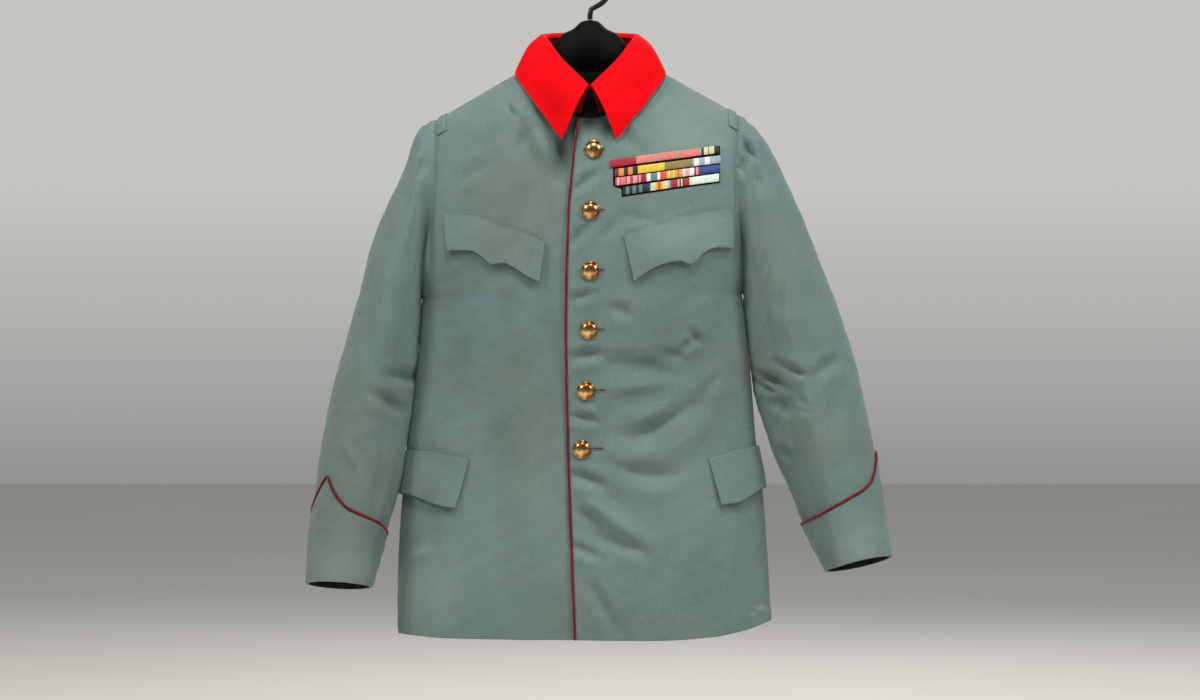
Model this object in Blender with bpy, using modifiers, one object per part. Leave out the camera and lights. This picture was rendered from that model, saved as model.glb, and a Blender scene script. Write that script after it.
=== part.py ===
"""Military tunic on a hanger.

The tunic hangs closed from a broad hanger. Its fronts and back are one flattened tube of cloth,
worked out from tables of sizes; everything that lies on the cloth is placed from that same tube.
Lengths in the tables are millimetres. "down" is a height: the distance below the inner top of the
hook, which is the origin. +X is the wearer's left, -Y is the front, +Z is up. "turn" is the angle
round the body in degrees: 0 at the centre front, 90 at the wearer's left side, -90 at the right
side and 180 at the centre back.
"""

import math
from collections import namedtuple

import bmesh
import bpy
from mathutils import Vector

MM = 0.001

# Cloth: wall thicknesses, the gap at a seam, the gap under what lies flat and under what wraps
# round the body, and the angle of the narrow strip of faces along a sleeve's seam
WALL = 2.0
SLEEVE_WALL = 1.8
FLAP_WALL = 1.8
COLLAR_WALL = 1.8
SEAM = 0.4
REST = 0.5
WRAP_REST = 0.75
SEAM_STRIP = 3.0

# Fronts: the lap of the left front over the right one, the step back that makes room for it, the
# neckline, the heights at which the panels' rows change their spacing, the depth of the armhole
LAP = 25.0
LAP_STEP = WALL + 1.3
LAP_STEP_FROM = 84.0
LAP_STEP_TO = 52.0
NECK_X = 72.0
NECK_SIDE_DOWN = 121.0
NECK_FRONT_DOWN = 198.0
NECK_BACK_DOWN = 128.0
CHEST_EDGE_DOWN = 380.0
CHEST_SIDE_DOWN = 250.0
ARMHOLE_DEEP = 235.0

# The body's section is an ellipse squared off by FULLNESS; folds fade out towards its sides
FULLNESS = 2.4
SIDE_FADE = 1.6

# Grids of the panels: the share of evenly spaced columns, the narrow last column and row along
# the seams, and the column of the back that ends its neckline
EVEN_COLUMNS = 0.3
LAST_COLUMN = 0.9993
LAST_ROW = 2.995
NECK_SHARE = 0.36

# Sleeves: the angle that the under sleeve spans, and the sizes that turn an angle and a station
# into millimetres
UNDER_SLEEVE_ARC = 110.0
SLEEVE_RADIUS = 58.0
STATION_STEP = 48.0
SEAM_RADIUS = 50.0

# Trim
PIPING_RADIUS = 1.4
BUTTON_RADIUS = 11.8
BUTTON_DOME = 6.5
CUFF_WALL = 1.6
LOOP_WIDTH = 11.0
LOOP_REACH = 24.0
LOOP_FROM_END = 9.0
RIBBON_WALL = 1.6
RIBBON_HEIGHT = 10.6

# Hanger
HOOK_RADIUS = 3.5
HOOK_BEND = 25.5
HOOK_ROOT_DOWN = 63.6

Shoulder = namedtuple("Shoulder", "x down")
SHOULDER_END = {"right": Shoulder(203.0, 197.0), "left": Shoulder(196.0, 190.0)}

# Half width of the panels at their armhole and side edges
Side = namedtuple("Side", "down right left")
SIDES = (
    Side(190, 203, 196),
    Side(240, 202, 192),
    Side(270, 202, 190),
    Side(305, 205, 191),
    Side(350, 212, 196),
    Side(390, 218, 198),
    Side(430, 222, 202),
    Side(490, 226, 209),
    Side(545, 232, 214),
    Side(620, 242, 220),
    Side(660, 245, 226),
    Side(710, 250, 231),
    Side(780, 254, 236),
    Side(840, 255, 239),
    Side(888, 252, 241),
)

# How far the body would run on past the armhole edge, below the shoulder's end
Bulge = namedtuple("Bulge", "below out")
BULGES = (
    Bulge(0, 0),
    Bulge(8, 9),
    Bulge(25, 20),
    Bulge(60, 32),
    Bulge(110, 38),
    Bulge(150, 36),
    Bulge(190, 24),
    Bulge(220, 9),
    Bulge(235, 0),
)

# Half depth of the body at its middle
Depth = namedtuple("Depth", "down front back")
DEPTHS = (
    Depth(119, 25, 36),
    Depth(133, 35, 51),
    Depth(150, 42, 57),
    Depth(165, 48, 63),
    Depth(194, 57, 69),
    Depth(240, 67, 75),
    Depth(300, 76, 79),
    Depth(380, 80, 79),
    Depth(460, 78, 73),
    Depth(545, 72, 66),
    Depth(640, 70, 66),
    Depth(760, 68, 66),
    Depth(888, 64, 64),
)

Hem = namedtuple("Hem", "x down")
HEM = (
    Hem(-252, 873),
    Hem(-170, 877),
    Hem(0, 878),
    Hem(80, 879),
    Hem(160, 875),
    Hem(200, 868),
    Hem(241, 855),
)

# Free edge of the wearer's left front, which laps over the right one
Edge = namedtuple("Edge", "down x")
FREE_EDGE = (
    Edge(190, -10),
    Edge(236, -18),
    Edge(276, -22),
    Edge(330, -26),
    Edge(474, -29),
    Edge(632, -26),
    Edge(777, -21),
    Edge(884, -17),
)

# Largest folds of the body: a trough has a negative depth, and its angle rises from +X
Fold = namedtuple("Fold", "x down angle length width depth")
FRONT_FOLDS = (
    Fold(75, 545, 22, 170, 22, -6),
    Fold(80, 612, -14, 160, 20, -5),
    Fold(45, 650, -38, 110, 18, 4),
    Fold(15, 745, -28, 120, 20, -4),
    Fold(-170, 560, 80, 260, 34, -5),
    Fold(-95, 700, 84, 300, 36, 5),
    Fold(150, 740, 84, 240, 34, 5),
    Fold(125, 440, 60, 150, 24, -4),
    Fold(-80, 215, 66, 90, 18, -4),
)
BACK_FOLDS = (
    Fold(-60, 640, 86, 380, 34, -6),
    Fold(40, 660, 94, 360, 32, 6),
    Fold(120, 560, 78, 260, 30, -5),
    Fold(-140, 430, 58, 200, 28, -5),
    Fold(145, 360, 118, 180, 26, -4),
)

# Sections of the sleeves, from the armhole down: the edge away from the body, the edge towards it,
# half the depth from front to back, how far the section lies forward and how far its front is raised
Section = namedtuple("Section", "out_x out_down in_x in_down deep forward raised")
SLEEVES = {
    "right": (
        Section(226, 210, 225, 440, 54, 0, 0),
        Section(244, 260, 227.5, 449, 60, 0, 0),
        Section(268, 312, 229, 463, 65, 0, 0),
        Section(290, 368, 231, 481, 68, 1, 0),
        Section(305, 428, 233, 505, 68, 2, 0),
        Section(319, 476, 236, 538, 66, 3, 1),
        Section(333, 527, 240, 572, 63, 5, 2),
        Section(346, 583, 246, 610, 60, 8, 3),
        Section(355, 640, 251.5, 655, 57, 12, 4),
        Section(362, 698, 261, 703, 54, 16, 5),
        Section(367, 740, 270, 742, 51, 20, 6),
        Section(370, 777, 279, 779, 49, 23, 7),
        Section(371, 807, 288, 811, 47, 26, 8),
    ),
    "left": (
        Section(219, 208, 205, 433, 54, 0, 0),
        Section(244, 247, 208.5, 443, 58, 0, 0),
        Section(268, 298, 211, 458, 60, 0, 0),
        Section(292, 355, 213.5, 478, 61, 1, 0),
        Section(313, 408, 216.5, 503, 60, 2, 0),
        Section(331, 455, 220, 530, 58, 3, 1),
        Section(346, 502, 224, 560, 56, 5, 2),
        Section(358, 552, 232, 594, 54, 8, 3),
        Section(368, 602, 244, 636, 52, 12, 4),
        Section(377, 655, 262, 680, 50, 16, 5),
        Section(385, 705, 277, 720, 48, 20, 6),
        Section(391, 744, 293, 757, 46, 23, 7),
        Section(395, 772, 311, 790, 45, 26, 8),
    ),
}

# Folds at the elbows: where round the sleeve and at which station, then as the body's folds
SleeveFold = namedtuple("SleeveFold", "round station angle length width depth")
SLEEVE_FOLDS = {
    "right": (
        SleeveFold(60, 6.0, 20, 95, 16, -5),
        SleeveFold(40, 7.2, -15, 80, 15, -4),
        SleeveFold(-130, 6.6, 0, 100, 16, -5),
    ),
    "left": (
        SleeveFold(-50, 6.6, -28, 110, 15, -7),
        SleeveFold(-30, 7.6, -20, 80, 15, -4),
        SleeveFold(150, 6.8, 8, 100, 16, -6),
    ),
}

# Top edge of the pointed cuffs: where its point is, and by how many stations the edge falls from
# it at an angle away from the point
Cuff = namedtuple("Cuff", "point_round point_station")
CUFFS = {"right": Cuff(-41, 9.49), "left": Cuff(83, 9.66)}
CuffDrop = namedtuple("CuffDrop", "away drop")
CUFF_DROPS = (
    CuffDrop(0, 0),
    CuffDrop(18, 0.42),
    CuffDrop(35, 0.74),
    CuffDrop(50, 0.91),
    CuffDrop(70, 1.07),
    CuffDrop(90, 1.24),
    CuffDrop(125, 1.5),
    CuffDrop(180, 1.62),
)

# Half of the collar, from its front end to the centre back: the neck seam, the fold, the outer edge
Collar = namedtuple("Collar", "along base_x base_y base_down fold_x fold_y fold_down edge_turn edge_down")
COLLAR = (
    Collar(0.00, 12, -55, 191.5, 3, -66, 158, 6.3, 226),
    Collar(0.12, 29, -50, 180, 20, -61, 141, 8.6, 215),
    Collar(0.28, 47, -39, 159, 40, -50, 120, 12, 199),
    Collar(0.42, 60, -24, 139, 53, -36, 103, 24, 172),
    Collar(0.52, 64, -10, 127, 61, -17, 91, 46, 149),
    Collar(0.60, 64, 4, 122, 64, 4, 86, 90, 132),
    Collar(0.76, 50, 27, 124, 52, 35, 82, 128, 134),
    Collar(1.00, 0, 43, 126, 0, 50, 79, 180, 134),
)
COLLAR_BULGE = 6.0
COLLAR_REST = 3.6
STAND_TOP = 0.96
COLLAR_COLUMNS = 22

# Rows of the leaf over the top of the stand: out from the fold and up from it; then the number of
# rows from there to its outer edge
LeafTop = namedtuple("LeafTop", "out up")
LEAF_TOP = (LeafTop(-4.6, -3.4), LeafTop(-3.4, 0.3), LeafTop(-1.0, 1.3), LeafTop(1.4, 0.2))
LEAF_ROWS = 4

# Scalloped flap of a breast pocket, across it from the armhole side: top and bottom edges
FlapRow = namedtuple("FlapRow", "column top_x top bottom_x bottom")
BREAST_FLAPS = {
    "right": (
        FlapRow(0, -192, 323, -185, 371),
        FlapRow(1, -172, 323, -167, 370),
        FlapRow(2, -156, 324, -152, 371.5),
        FlapRow(3, -142, 328, -139, 379),
        FlapRow(4, -128, 334, -126, 389),
        FlapRow(5, -114, 340, -112, 387),
        FlapRow(6, -98, 345, -98, 393),
        FlapRow(7, -79, 351, -82, 404),
        FlapRow(8, -58, 361, -65, 412),
    ),
    "left": (
        FlapRow(0, 187, 317, 185, 367),
        FlapRow(1, 170, 318, 169, 366),
        FlapRow(2, 154, 320, 156, 368),
        FlapRow(3, 140, 323, 143, 377),
        FlapRow(4, 126, 327, 130, 388),
        FlapRow(5, 111, 332, 116, 384),
        FlapRow(6, 92, 338, 99, 387),
        FlapRow(7, 68, 345, 78, 396),
        FlapRow(8, 44, 353, 57, 411),
    ),
}

# Flap of a skirt pocket, across it from the front to past the side; its front edge leans outward
# by HIP_LEAN degrees at HIP_LEAN_SPAN degrees from the side
HIP_LEAN = 3.8
HIP_LEAN_SPAN = 50.0
HipRow = namedtuple("HipRow", "turn top bottom")
HIP_FLAPS = {
    "right": (
        HipRow(-36.5, 642, 706),
        HipRow(-46, 637, 702),
        HipRow(-56, 633, 694),
        HipRow(-67, 632, 689),
        HipRow(-78, 632, 688),
        HipRow(-92, 632, 690),
        HipRow(-106, 634, 694),
        HipRow(-118, 636, 699),
    ),
    "left": (
        HipRow(40, 642, 702),
        HipRow(51, 634, 699),
        HipRow(60, 630, 691),
        HipRow(69, 628, 684),
        HipRow(79, 626, 681),
        HipRow(92, 626, 682),
        HipRow(106, 628, 686),
        HipRow(118, 630, 690),
    ),
}

# Buttons, and their section from the middle of the dome to the middle of the back, as shares of
# their radius and height
Button = namedtuple("Button", "x down")
BUTTONS = (
    Button(5, 239),
    Button(1, 319),
    Button(1, 397),
    Button(-1, 474),
    Button(-5, 553),
    Button(-10, 629),
)

Rim = namedtuple("Rim", "out up")
BUTTON_SECTION = (
    Rim(0.0, 1.0),
    Rim(0.45, 0.9),
    Rim(0.8, 0.62),
    Rim(0.97, 0.3),
    Rim(1.0, 0.12),
    Rim(0.95, 0.0),
    Rim(0.0, 0.0),
)
BUTTON_STEPS = 16

# Middle lines of the four rows of ribbon bars
Ribbon = namedtuple("Ribbon", "from_x from_down to_x to_down")
RIBBONS = (
    Ribbon(26, 258.5, 168, 238),
    Ribbon(32, 270.5, 170, 251),
    Ribbon(33, 282, 169, 263),
    Ribbon(43, 294, 168, 275),
)

# Half of the hanger, from its middle to its end: top, height and half the depth of each section
HangerRow = namedtuple("HangerRow", "x top tall deep")
HANGER = (
    HangerRow(0, 64, 66, 24),
    HangerRow(10, 66, 66, 24),
    HangerRow(22, 76, 62, 24),
    HangerRow(38, 84, 60, 23),
    HangerRow(47, 97, 54, 20),
    HangerRow(55, 117, 42, 13),
    HangerRow(63, 127, 36, 11),
    HangerRow(78, 128, 36, 14),
    HangerRow(100, 140, 36, 18),
    HangerRow(140, 163.2, 34, 19),
    HangerRow(170, 180.8, 30, 19),
    HangerRow(182, 188.8, 24, 15),
    HangerRow(187, 195, 12, 7),
)

# Wire of the hook: from its root up to its bend, as across and up from the root, then the angles
# between which it bends round
HOOK_ROOT = ((0.0, 0.0), (0.0, 6.0), (1.5, 13.0))
HOOK_FROM = -62.0
HOOK_TO = 205.0

# Colour, roughness and metallic value of each stuff
COLOURS = {
    "cloth": (0.22, 0.28, 0.27, 0.85, 0.0),
    "collar": (0.85, 0.012, 0.02, 0.8, 0.0),
    "piping": (0.22, 0.012, 0.02, 0.75, 0.0),
    "gilt": (0.83, 0.55, 0.2, 0.28, 1.0),
    "ribbon": (0.35, 0.1, 0.09, 0.7, 0.0),
    "hanger": (0.012, 0.012, 0.014, 0.5, 0.0),
}


def start():
    """Empties the scene and makes the tunic's collection."""
    for item in list(bpy.data.objects):
        bpy.data.objects.remove(item)
    home = bpy.data.collections.new("military_tunic")
    bpy.context.scene.collection.children.link(home)
    return home


HOME = start()


def material(name):
    """Principled material of one kind of stuff."""
    made = bpy.data.materials.get(name)
    if made is None:
        red, green, blue, rough, metal = COLOURS[name]
        made = bpy.data.materials.new(name)
        made.use_nodes = True
        shader = made.node_tree.nodes["Principled BSDF"]
        shader.inputs["Base Color"].default_value = (red, green, blue, 1.0)
        shader.inputs["Roughness"].default_value = rough
        shader.inputs["Metallic"].default_value = metal
    return made


def mix(a, b, share):
    return a + (b - a) * share


def apart(angle, other):
    """Signed difference of two angles, from -180 to 180 degrees."""
    return (angle - other + 180.0) % 360.0 - 180.0


def ease(share):
    share = min(max(share, 0.0), 1.0)
    return share * share * (3.0 - 2.0 * share)


def between(rows, at, column):
    """Value of a table's column at a place on its first column, eased without overshoot."""
    places = [row[0] for row in rows]
    values = [getattr(row, column) for row in rows]
    if at <= places[0]:
        return float(values[0])
    if at >= places[-1]:
        return float(values[-1])
    secants = [(values[i + 1] - values[i]) / (places[i + 1] - places[i]) for i in range(len(rows) - 1)]

    def slope(i):
        if i == 0:
            return secants[0]
        if i == len(rows) - 1:
            return secants[-1]
        before, after = secants[i - 1], secants[i]
        if before * after <= 0.0:
            return 0.0
        return 2.0 * before * after / (before + after)

    i = max(k for k in range(len(rows) - 1) if places[k] <= at)
    step = places[i + 1] - places[i]
    t = (at - places[i]) / step
    start_value = values[i] * (1 + 2 * t) * (1 - t) ** 2 + slope(i) * step * t * (1 - t) ** 2
    end_value = values[i + 1] * t * t * (3 - 2 * t) + slope(i + 1) * step * t * t * (t - 1)
    return start_value + end_value


# The form of the body


def side_name(turn_or_x):
    return "left" if turn_or_x >= 0 else "right"


def panel_edge(side, down):
    """Half width at the edge of the panels: the shoulder seam, the armhole, then the side seam."""
    end = SHOULDER_END[side]
    if down < end.down:
        return mix(NECK_X, end.x, (down - NECK_SIDE_DOWN) / (end.down - NECK_SIDE_DOWN))
    return between(SIDES, down, side)


def half_width(side, down):
    """Half width of the whole form, which runs on past the armhole edge."""
    return panel_edge(side, down) + between(BULGES, down - SHOULDER_END[side].down, "out")


def one_fold(fold, right, up):
    """How far a fold lifts the cloth at a distance right of its middle and above it."""
    turned = math.radians(fold.angle)
    along = right * math.cos(turned) + up * math.sin(turned)
    across = up * math.cos(turned) - right * math.sin(turned)
    reach = abs(along) / (fold.length / 2)
    if reach >= 1.0:
        return 0.0
    return fold.depth * math.cos(reach * math.pi / 2) ** 2 * math.exp(-((across / fold.width) ** 2))


def fold_height(folds, x, down):
    """How far the folds of the body lift its cloth at a place."""
    return sum(one_fold(fold, x - fold.x, fold.down - down) for fold in folds)


def form(turn, down):
    """Point of the cloth's outer face, in millimetres."""
    side = side_name(turn)
    radians = math.radians(abs(turn))
    sine, cosine = math.sin(radians), math.cos(radians)
    x = half_width(side, down) * abs(sine) ** (2.0 / FULLNESS)
    if side == "right":
        x = -x
    front = cosine > 0.0
    deep = between(DEPTHS, down, "front" if front else "back") * abs(cosine)
    deep += fold_height(FRONT_FOLDS if front else BACK_FOLDS, x, down) * min(1.0, SIDE_FADE * abs(cosine))
    return Vector((x, -deep if front else deep, -down))


def turn_at(x, down, back=False):
    """Angle round the body of the place at a distance from its middle."""
    share = min(abs(x) / half_width(side_name(x), down), 1.0)
    turn = math.degrees(math.asin(share ** (FULLNESS / 2.0)))
    if back:
        turn = 180.0 - turn
    return turn if x >= 0 else -turn


def outward(turn, down):
    """Direction square to the cloth."""
    span = 1.5
    round_it = form(turn + span, down) - form(turn - span, down)
    up = form(turn, down - span) - form(turn, down + span)
    return round_it.cross(up).normalized()


def on_cloth(turn, down, lift):
    """Point at a height above the cloth, in metres."""
    return (form(turn, down) + outward(turn, down) * lift) * MM


# Making objects


def finish(name, mesh, stuff, smooth=50):
    """Object of a mesh, shaded smooth but for its sharp edges."""
    mesh.shade_smooth()
    mesh.set_sharp_from_angle(angle=math.radians(smooth))
    mesh.materials.append(material(stuff))
    made = bpy.data.objects.new(name, mesh)
    HOME.objects.link(made)
    return made


def cloth(name, columns, rows, place, stuff, wall, grow=-1.0, closed=False):
    """Cloth piece: a grid laid over its form by a function, thickened by Solidify."""
    work = bmesh.new()
    bmesh.ops.create_grid(work, x_segments=len(columns) - 1, y_segments=len(rows) - 1, size=0.5)
    for corner in work.verts:
        i = round((corner.co.x + 0.5) * (len(columns) - 1))
        j = round((corner.co.y + 0.5) * (len(rows) - 1))
        corner.co = place(columns[i], rows[j])
    if closed:
        bmesh.ops.remove_doubles(work, verts=work.verts, dist=1e-6)
    mesh = bpy.data.meshes.new(name)
    work.to_mesh(mesh)
    work.free()
    made = finish(name, mesh, stuff)
    thick = made.modifiers.new("cloth", "SOLIDIFY")
    thick.thickness = wall * MM
    thick.offset = grow
    thick.use_even_offset = False
    return made


def tube(name, points, radius, stuff, closed=False, sides=2):
    """Round cord or wire along a line of points."""
    curve = bpy.data.curves.new(name, "CURVE")
    curve.dimensions = "3D"
    curve.bevel_depth = radius * MM
    curve.bevel_resolution = sides
    curve.use_fill_caps = not closed
    line = curve.splines.new("POLY")
    line.points.add(len(points) - 1)
    for spot, point in zip(line.points, points):
        spot.co = (*point, 1.0)
    line.use_cyclic_u = closed
    curve.materials.append(material(stuff))
    made = bpy.data.objects.new(name, curve)
    HOME.objects.link(made)
    return made


def even(count, first=0.0, last=1.0):
    return [mix(first, last, i / count) for i in range(count + 1)]


# Fronts and back


def neck_point(share, x_from):
    """Point of the front neckline, from its front end to the shoulder seam."""
    start_angle = math.asin(x_from / NECK_X)
    angle = mix(start_angle, math.pi / 2, share)
    return NECK_X * math.sin(angle), mix(NECK_SIDE_DOWN, NECK_FRONT_DOWN, math.cos(angle))


def hem_down(x):
    return between(HEM, x, "down")


def stage(height, low, mid, top, corner):
    """Height on a panel's edge: from low to mid, from mid to top, then to the corner."""
    if height <= 1.0:
        return mix(low, mid, height)
    if height <= 2.0:
        return mix(mid, top, height - 1.0)
    return mix(top, corner, height - 2.0)


def inner_edge(side, height):
    """Front edge of a front, then its neckline, as x and down; x is positive towards its side."""
    over = side == "left"
    top_x = FREE_EDGE[0].x if over else -LAP
    if height > 2.0:
        return neck_point(height - 2.0, top_x)
    low = hem_down(FREE_EDGE[-1].x if over else LAP)
    down = stage(height, low, CHEST_EDGE_DOWN, neck_point(0.0, top_x)[1], 0.0)
    return (between(FREE_EDGE, down, "x") if over else top_x), down


def outer_edge(side, height):
    """Side seam of a panel, then its armhole, as x and down."""
    end = SHOULDER_END[side]
    sign = 1 if side == "left" else -1
    hem_x = between(SIDES, HEM[-1].down, side)
    down = stage(height, hem_down(sign * hem_x), end.down + ARMHOLE_DEEP, CHEST_SIDE_DOWN, end.down)
    return panel_edge(side, down), down


def lap_step(x):
    """How far the right front steps back to pass under the left one."""
    return LAP_STEP * ease((x + LAP_STEP_FROM) / (LAP_STEP_FROM - LAP_STEP_TO))


def seam_gap(point, seam_side):
    """Keeps a panel its half seam away from the plane through the side and shoulder seams."""
    if seam_side < 0:
        point.y = min(point.y, -SEAM / 2)
    else:
        point.y = max(point.y, SEAM / 2)
    return point


def front_place(side):
    """Place of a front's grid: columns run from its inner to its outer edge, rows from the hem up."""
    sign = 1 if side == "left" else -1

    def place(share, height):
        inner, outer = inner_edge(side, height), outer_edge(side, height)
        x, down = mix(inner[0], outer[0], share), mix(inner[1], outer[1], share)
        if height < 1.0:
            straight = mix(inner_edge(side, 0)[1], outer_edge(side, 0)[1], share)
            down += (hem_down(sign * x) - straight) * (1.0 - height) ** 2
        x = sign * x
        point = form(turn_at(x, down), down)
        if side == "right":
            point.y += lap_step(x)
        return seam_gap(point, -1) * MM

    return place


def across_spacing(count):
    """Columns of a panel, closer together where the cloth turns round the side."""
    shares = [mix(math.sin(u * math.pi / 2), u, EVEN_COLUMNS) for u in even(count)]
    return shares[:-1] + [LAST_COLUMN, 1.0]


def up_spacing(low, middle, high):
    """Rows of a panel, closer together towards the shoulder seam."""
    rows = even(low) + [1.0 + t for t in even(middle)[1:]]
    rows += [3.0 - (1.0 - t) ** 2 for t in even(high)[1:-1]]
    return rows + [LAST_ROW, 3.0]


ROWS = up_spacing(11, 5, 5)


def back_top(side, share):
    """Top edge of the back, from the centre of its neckline to the shoulder's end, as x and down."""
    end = SHOULDER_END[side]
    if share <= NECK_SHARE:
        x = NECK_X * share / NECK_SHARE
        dip = math.sqrt(max(0.0, 1.0 - (x / NECK_X) ** 2))
        return x, mix(NECK_SIDE_DOWN, NECK_BACK_DOWN, dip)
    along = (share - NECK_SHARE) / (1.0 - NECK_SHARE)
    return mix(NECK_X, end.x, along), mix(NECK_SIDE_DOWN, end.down, along)


def back_place(signed_share, height):
    """Place of the back's grid: columns run from the left side to the right, rows from the hem up."""
    side = "left" if signed_share <= 0 else "right"
    sign = 1 if side == "left" else -1
    share = abs(signed_share)
    outer = outer_edge(side, height)
    centre = stage(height, hem_down(0), CHEST_EDGE_DOWN - 40.0, NECK_BACK_DOWN + 45.0, NECK_BACK_DOWN)
    x, down = share * outer[0], mix(centre, outer[1], share)
    top_x, top_down = back_top(side, share)
    rise = ease((height - 1.4) / 1.6)
    x += (top_x - share * SHOULDER_END[side].x) * rise
    down += (top_down - mix(NECK_BACK_DOWN, SHOULDER_END[side].down, share)) * rise
    if height < 1.0:
        straight = mix(hem_down(0), outer_edge(side, 0)[1], share)
        down += (hem_down(sign * x) - straight) * (1.0 - height) ** 2
    point = form(turn_at(sign * x, down, back=True), down)
    return seam_gap(point, 1) * MM


def make_body():
    """Both fronts and the back."""
    spread = across_spacing(11)
    left, right = front_place("left"), front_place("right")
    cloth("front_left", spread, ROWS, left, "cloth", WALL)
    cloth("front_right", spread[::-1], ROWS, right, "cloth", WALL)
    half = across_spacing(9)
    half[min(range(len(half)), key=lambda i: abs(half[i] - NECK_SHARE))] = NECK_SHARE
    cloth("back", [-share for share in half[::-1]] + half[1:], ROWS, back_place, "cloth", WALL)


# Sleeves


def armhole_ring(side, round_it):
    """Point of the armhole seam by the angle round the sleeve, just off the panels' edge."""
    sign = 1 if side == "left" else -1
    end = SHOULDER_END[side]
    radians = math.radians(round_it)
    down = end.down + ARMHOLE_DEEP / 2 * (1.0 - sign * math.sin(radians))
    x = panel_edge(side, down)
    point = form(turn_at(sign * x, down, back=math.cos(radians) < 0.0), down)
    point.x = sign * (x + 1.5 * SEAM)
    return point


def section_ring(side, section, round_it):
    """Point of one section of a sleeve, an ellipse."""
    sign = 1 if side == "left" else -1
    radians = math.radians(round_it)
    share = 0.5 + 0.5 * sign * math.sin(radians)
    return Vector((
        sign * mix(section.in_x, section.out_x, share),
        -section.forward - section.deep * math.cos(radians),
        -mix(section.in_down, section.out_down, share) + section.raised * math.cos(radians),
    ))


def sleeve_form(side, round_it, station):
    """Point of a sleeve's outer face; station 0 is the armhole, 1 to 13 the sections."""
    ring = [armhole_ring(side, round_it)]
    ring += [section_ring(side, section, round_it) for section in SLEEVES[side]]
    station = min(max(station, 0.0), len(ring) - 1.0)
    i = min(int(station), len(ring) - 2)
    t = station - i
    before, after = ring[max(i - 1, 0)], ring[min(i + 2, len(ring) - 1)]
    slope_in = (ring[i + 1] - before) / 2 if i > 0 else ring[i + 1] - ring[i]
    slope_out = (after - ring[i]) / 2 if i < len(ring) - 2 else ring[i + 1] - ring[i]
    point = ring[i] * (1 + 2 * t) * (1 - t) ** 2 + slope_in * t * (1 - t) ** 2
    return point + ring[i + 1] * t * t * (3 - 2 * t) + slope_out * t * t * (t - 1)


def sleeve_outward(side, round_it, station):
    span = 2.0
    low, high = max(station - 0.15, 0.0), min(station + 0.15, len(SLEEVES[side]))
    across = sleeve_form(side, round_it + span, station) - sleeve_form(side, round_it - span, station)
    up = sleeve_form(side, round_it, low) - sleeve_form(side, round_it, high)
    return across.cross(up).normalized()


def sleeve_fold(side, round_it, station):
    """How far the elbow's folds lift the sleeve at a place."""
    height = 0.0
    for fold in SLEEVE_FOLDS[side]:
        right = math.radians(apart(round_it, fold.round)) * SLEEVE_RADIUS
        height += one_fold(fold, right, (fold.station - station) * STATION_STEP)
    return height


def on_sleeve(side, round_it, station, lift):
    """Point at a height above a sleeve, in metres."""
    lift += sleeve_fold(side, round_it, station)
    return (sleeve_form(side, round_it, station) + sleeve_outward(side, round_it, station) * lift) * MM


def sleeve_rounds(side, piece):
    """Angles round a sleeve piece, with a narrow strip along each seam and one at the cuff's point."""
    inner = -90.0 if side == "left" else 90.0
    half_gap = math.degrees(SEAM / 2 / SEAM_RADIUS)
    first = inner - UNDER_SLEEVE_ARC / 2 + half_gap
    last = inner + UNDER_SLEEVE_ARC / 2 - half_gap
    if piece == "under":
        return [first] + even(5, first + SEAM_STRIP, last - SEAM_STRIP) + [last]
    first, last = last + 2 * half_gap, first + 360.0 - 2 * half_gap
    middle = even(11, first + SEAM_STRIP, last - SEAM_STRIP)
    point = CUFFS[side].point_round
    nearest = min(range(len(middle)), key=lambda i: abs(apart(middle[i], point)))
    middle[nearest] += apart(point, middle[nearest])
    return [first] + middle + [last]


STATIONS = [0.0, 0.3, 0.65, 1.0, 1.5, 2.0, 3.0, 4.0, 5.0, 5.6, 6.2, 6.8, 7.4]
STATIONS += [8.0, 9.0, 10.0, 11.0, 12.0, 13.0]


def make_sleeve(side):
    """Top and under sleeve, with their seams towards the body."""

    def place(round_it, station):
        return on_sleeve(side, round_it, station, 0.0)

    for piece in ("under", "top"):
        rounds = sleeve_rounds(side, piece)
        cloth(f"sleeve_{side}_{piece}", rounds, STATIONS[::-1], place, "cloth", SLEEVE_WALL)


def cuff_top(side, round_it):
    """Station of the cuff's pointed top edge."""
    cuff = CUFFS[side]
    return cuff.point_station + between(CUFF_DROPS, abs(apart(round_it, cuff.point_round)), "drop")


def cuff_edge(side, round_it, lift):
    return on_sleeve(side, round_it, cuff_top(side, round_it), lift)


def make_cuff(side):
    """Pointed cuff over the end of a sleeve, and the cord along its top edge."""
    last = float(len(SLEEVES[side]))
    point = CUFFS[side].point_round
    rounds = sleeve_rounds(side, "under") + sleeve_rounds(side, "top")
    rounds.append(rounds[0] + 360.0)

    def place(round_it, share):
        station = mix(last, cuff_top(side, round_it), share)
        return on_sleeve(side, round_it, station, REST)

    cloth(f"cuff_{side}", rounds, even(4), place, "cloth", CUFF_WALL, grow=1.0, closed=True)
    line = []
    lift = PIPING_RADIUS + REST
    for round_it in even(32, point, point + 360.0)[:-1]:
        run = cuff_edge(side, round_it + 3.0, lift) - cuff_edge(side, round_it - 3.0, lift)
        up = sleeve_outward(side, round_it, cuff_top(side, round_it)).cross(run).normalized()
        line.append(cuff_edge(side, round_it, lift) + up * (PIPING_RADIUS + 2.5 * SEAM) * MM)
    tube(f"cuff_piping_{side}", line, PIPING_RADIUS, "piping", closed=True, sides=1)


# Collar


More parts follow.
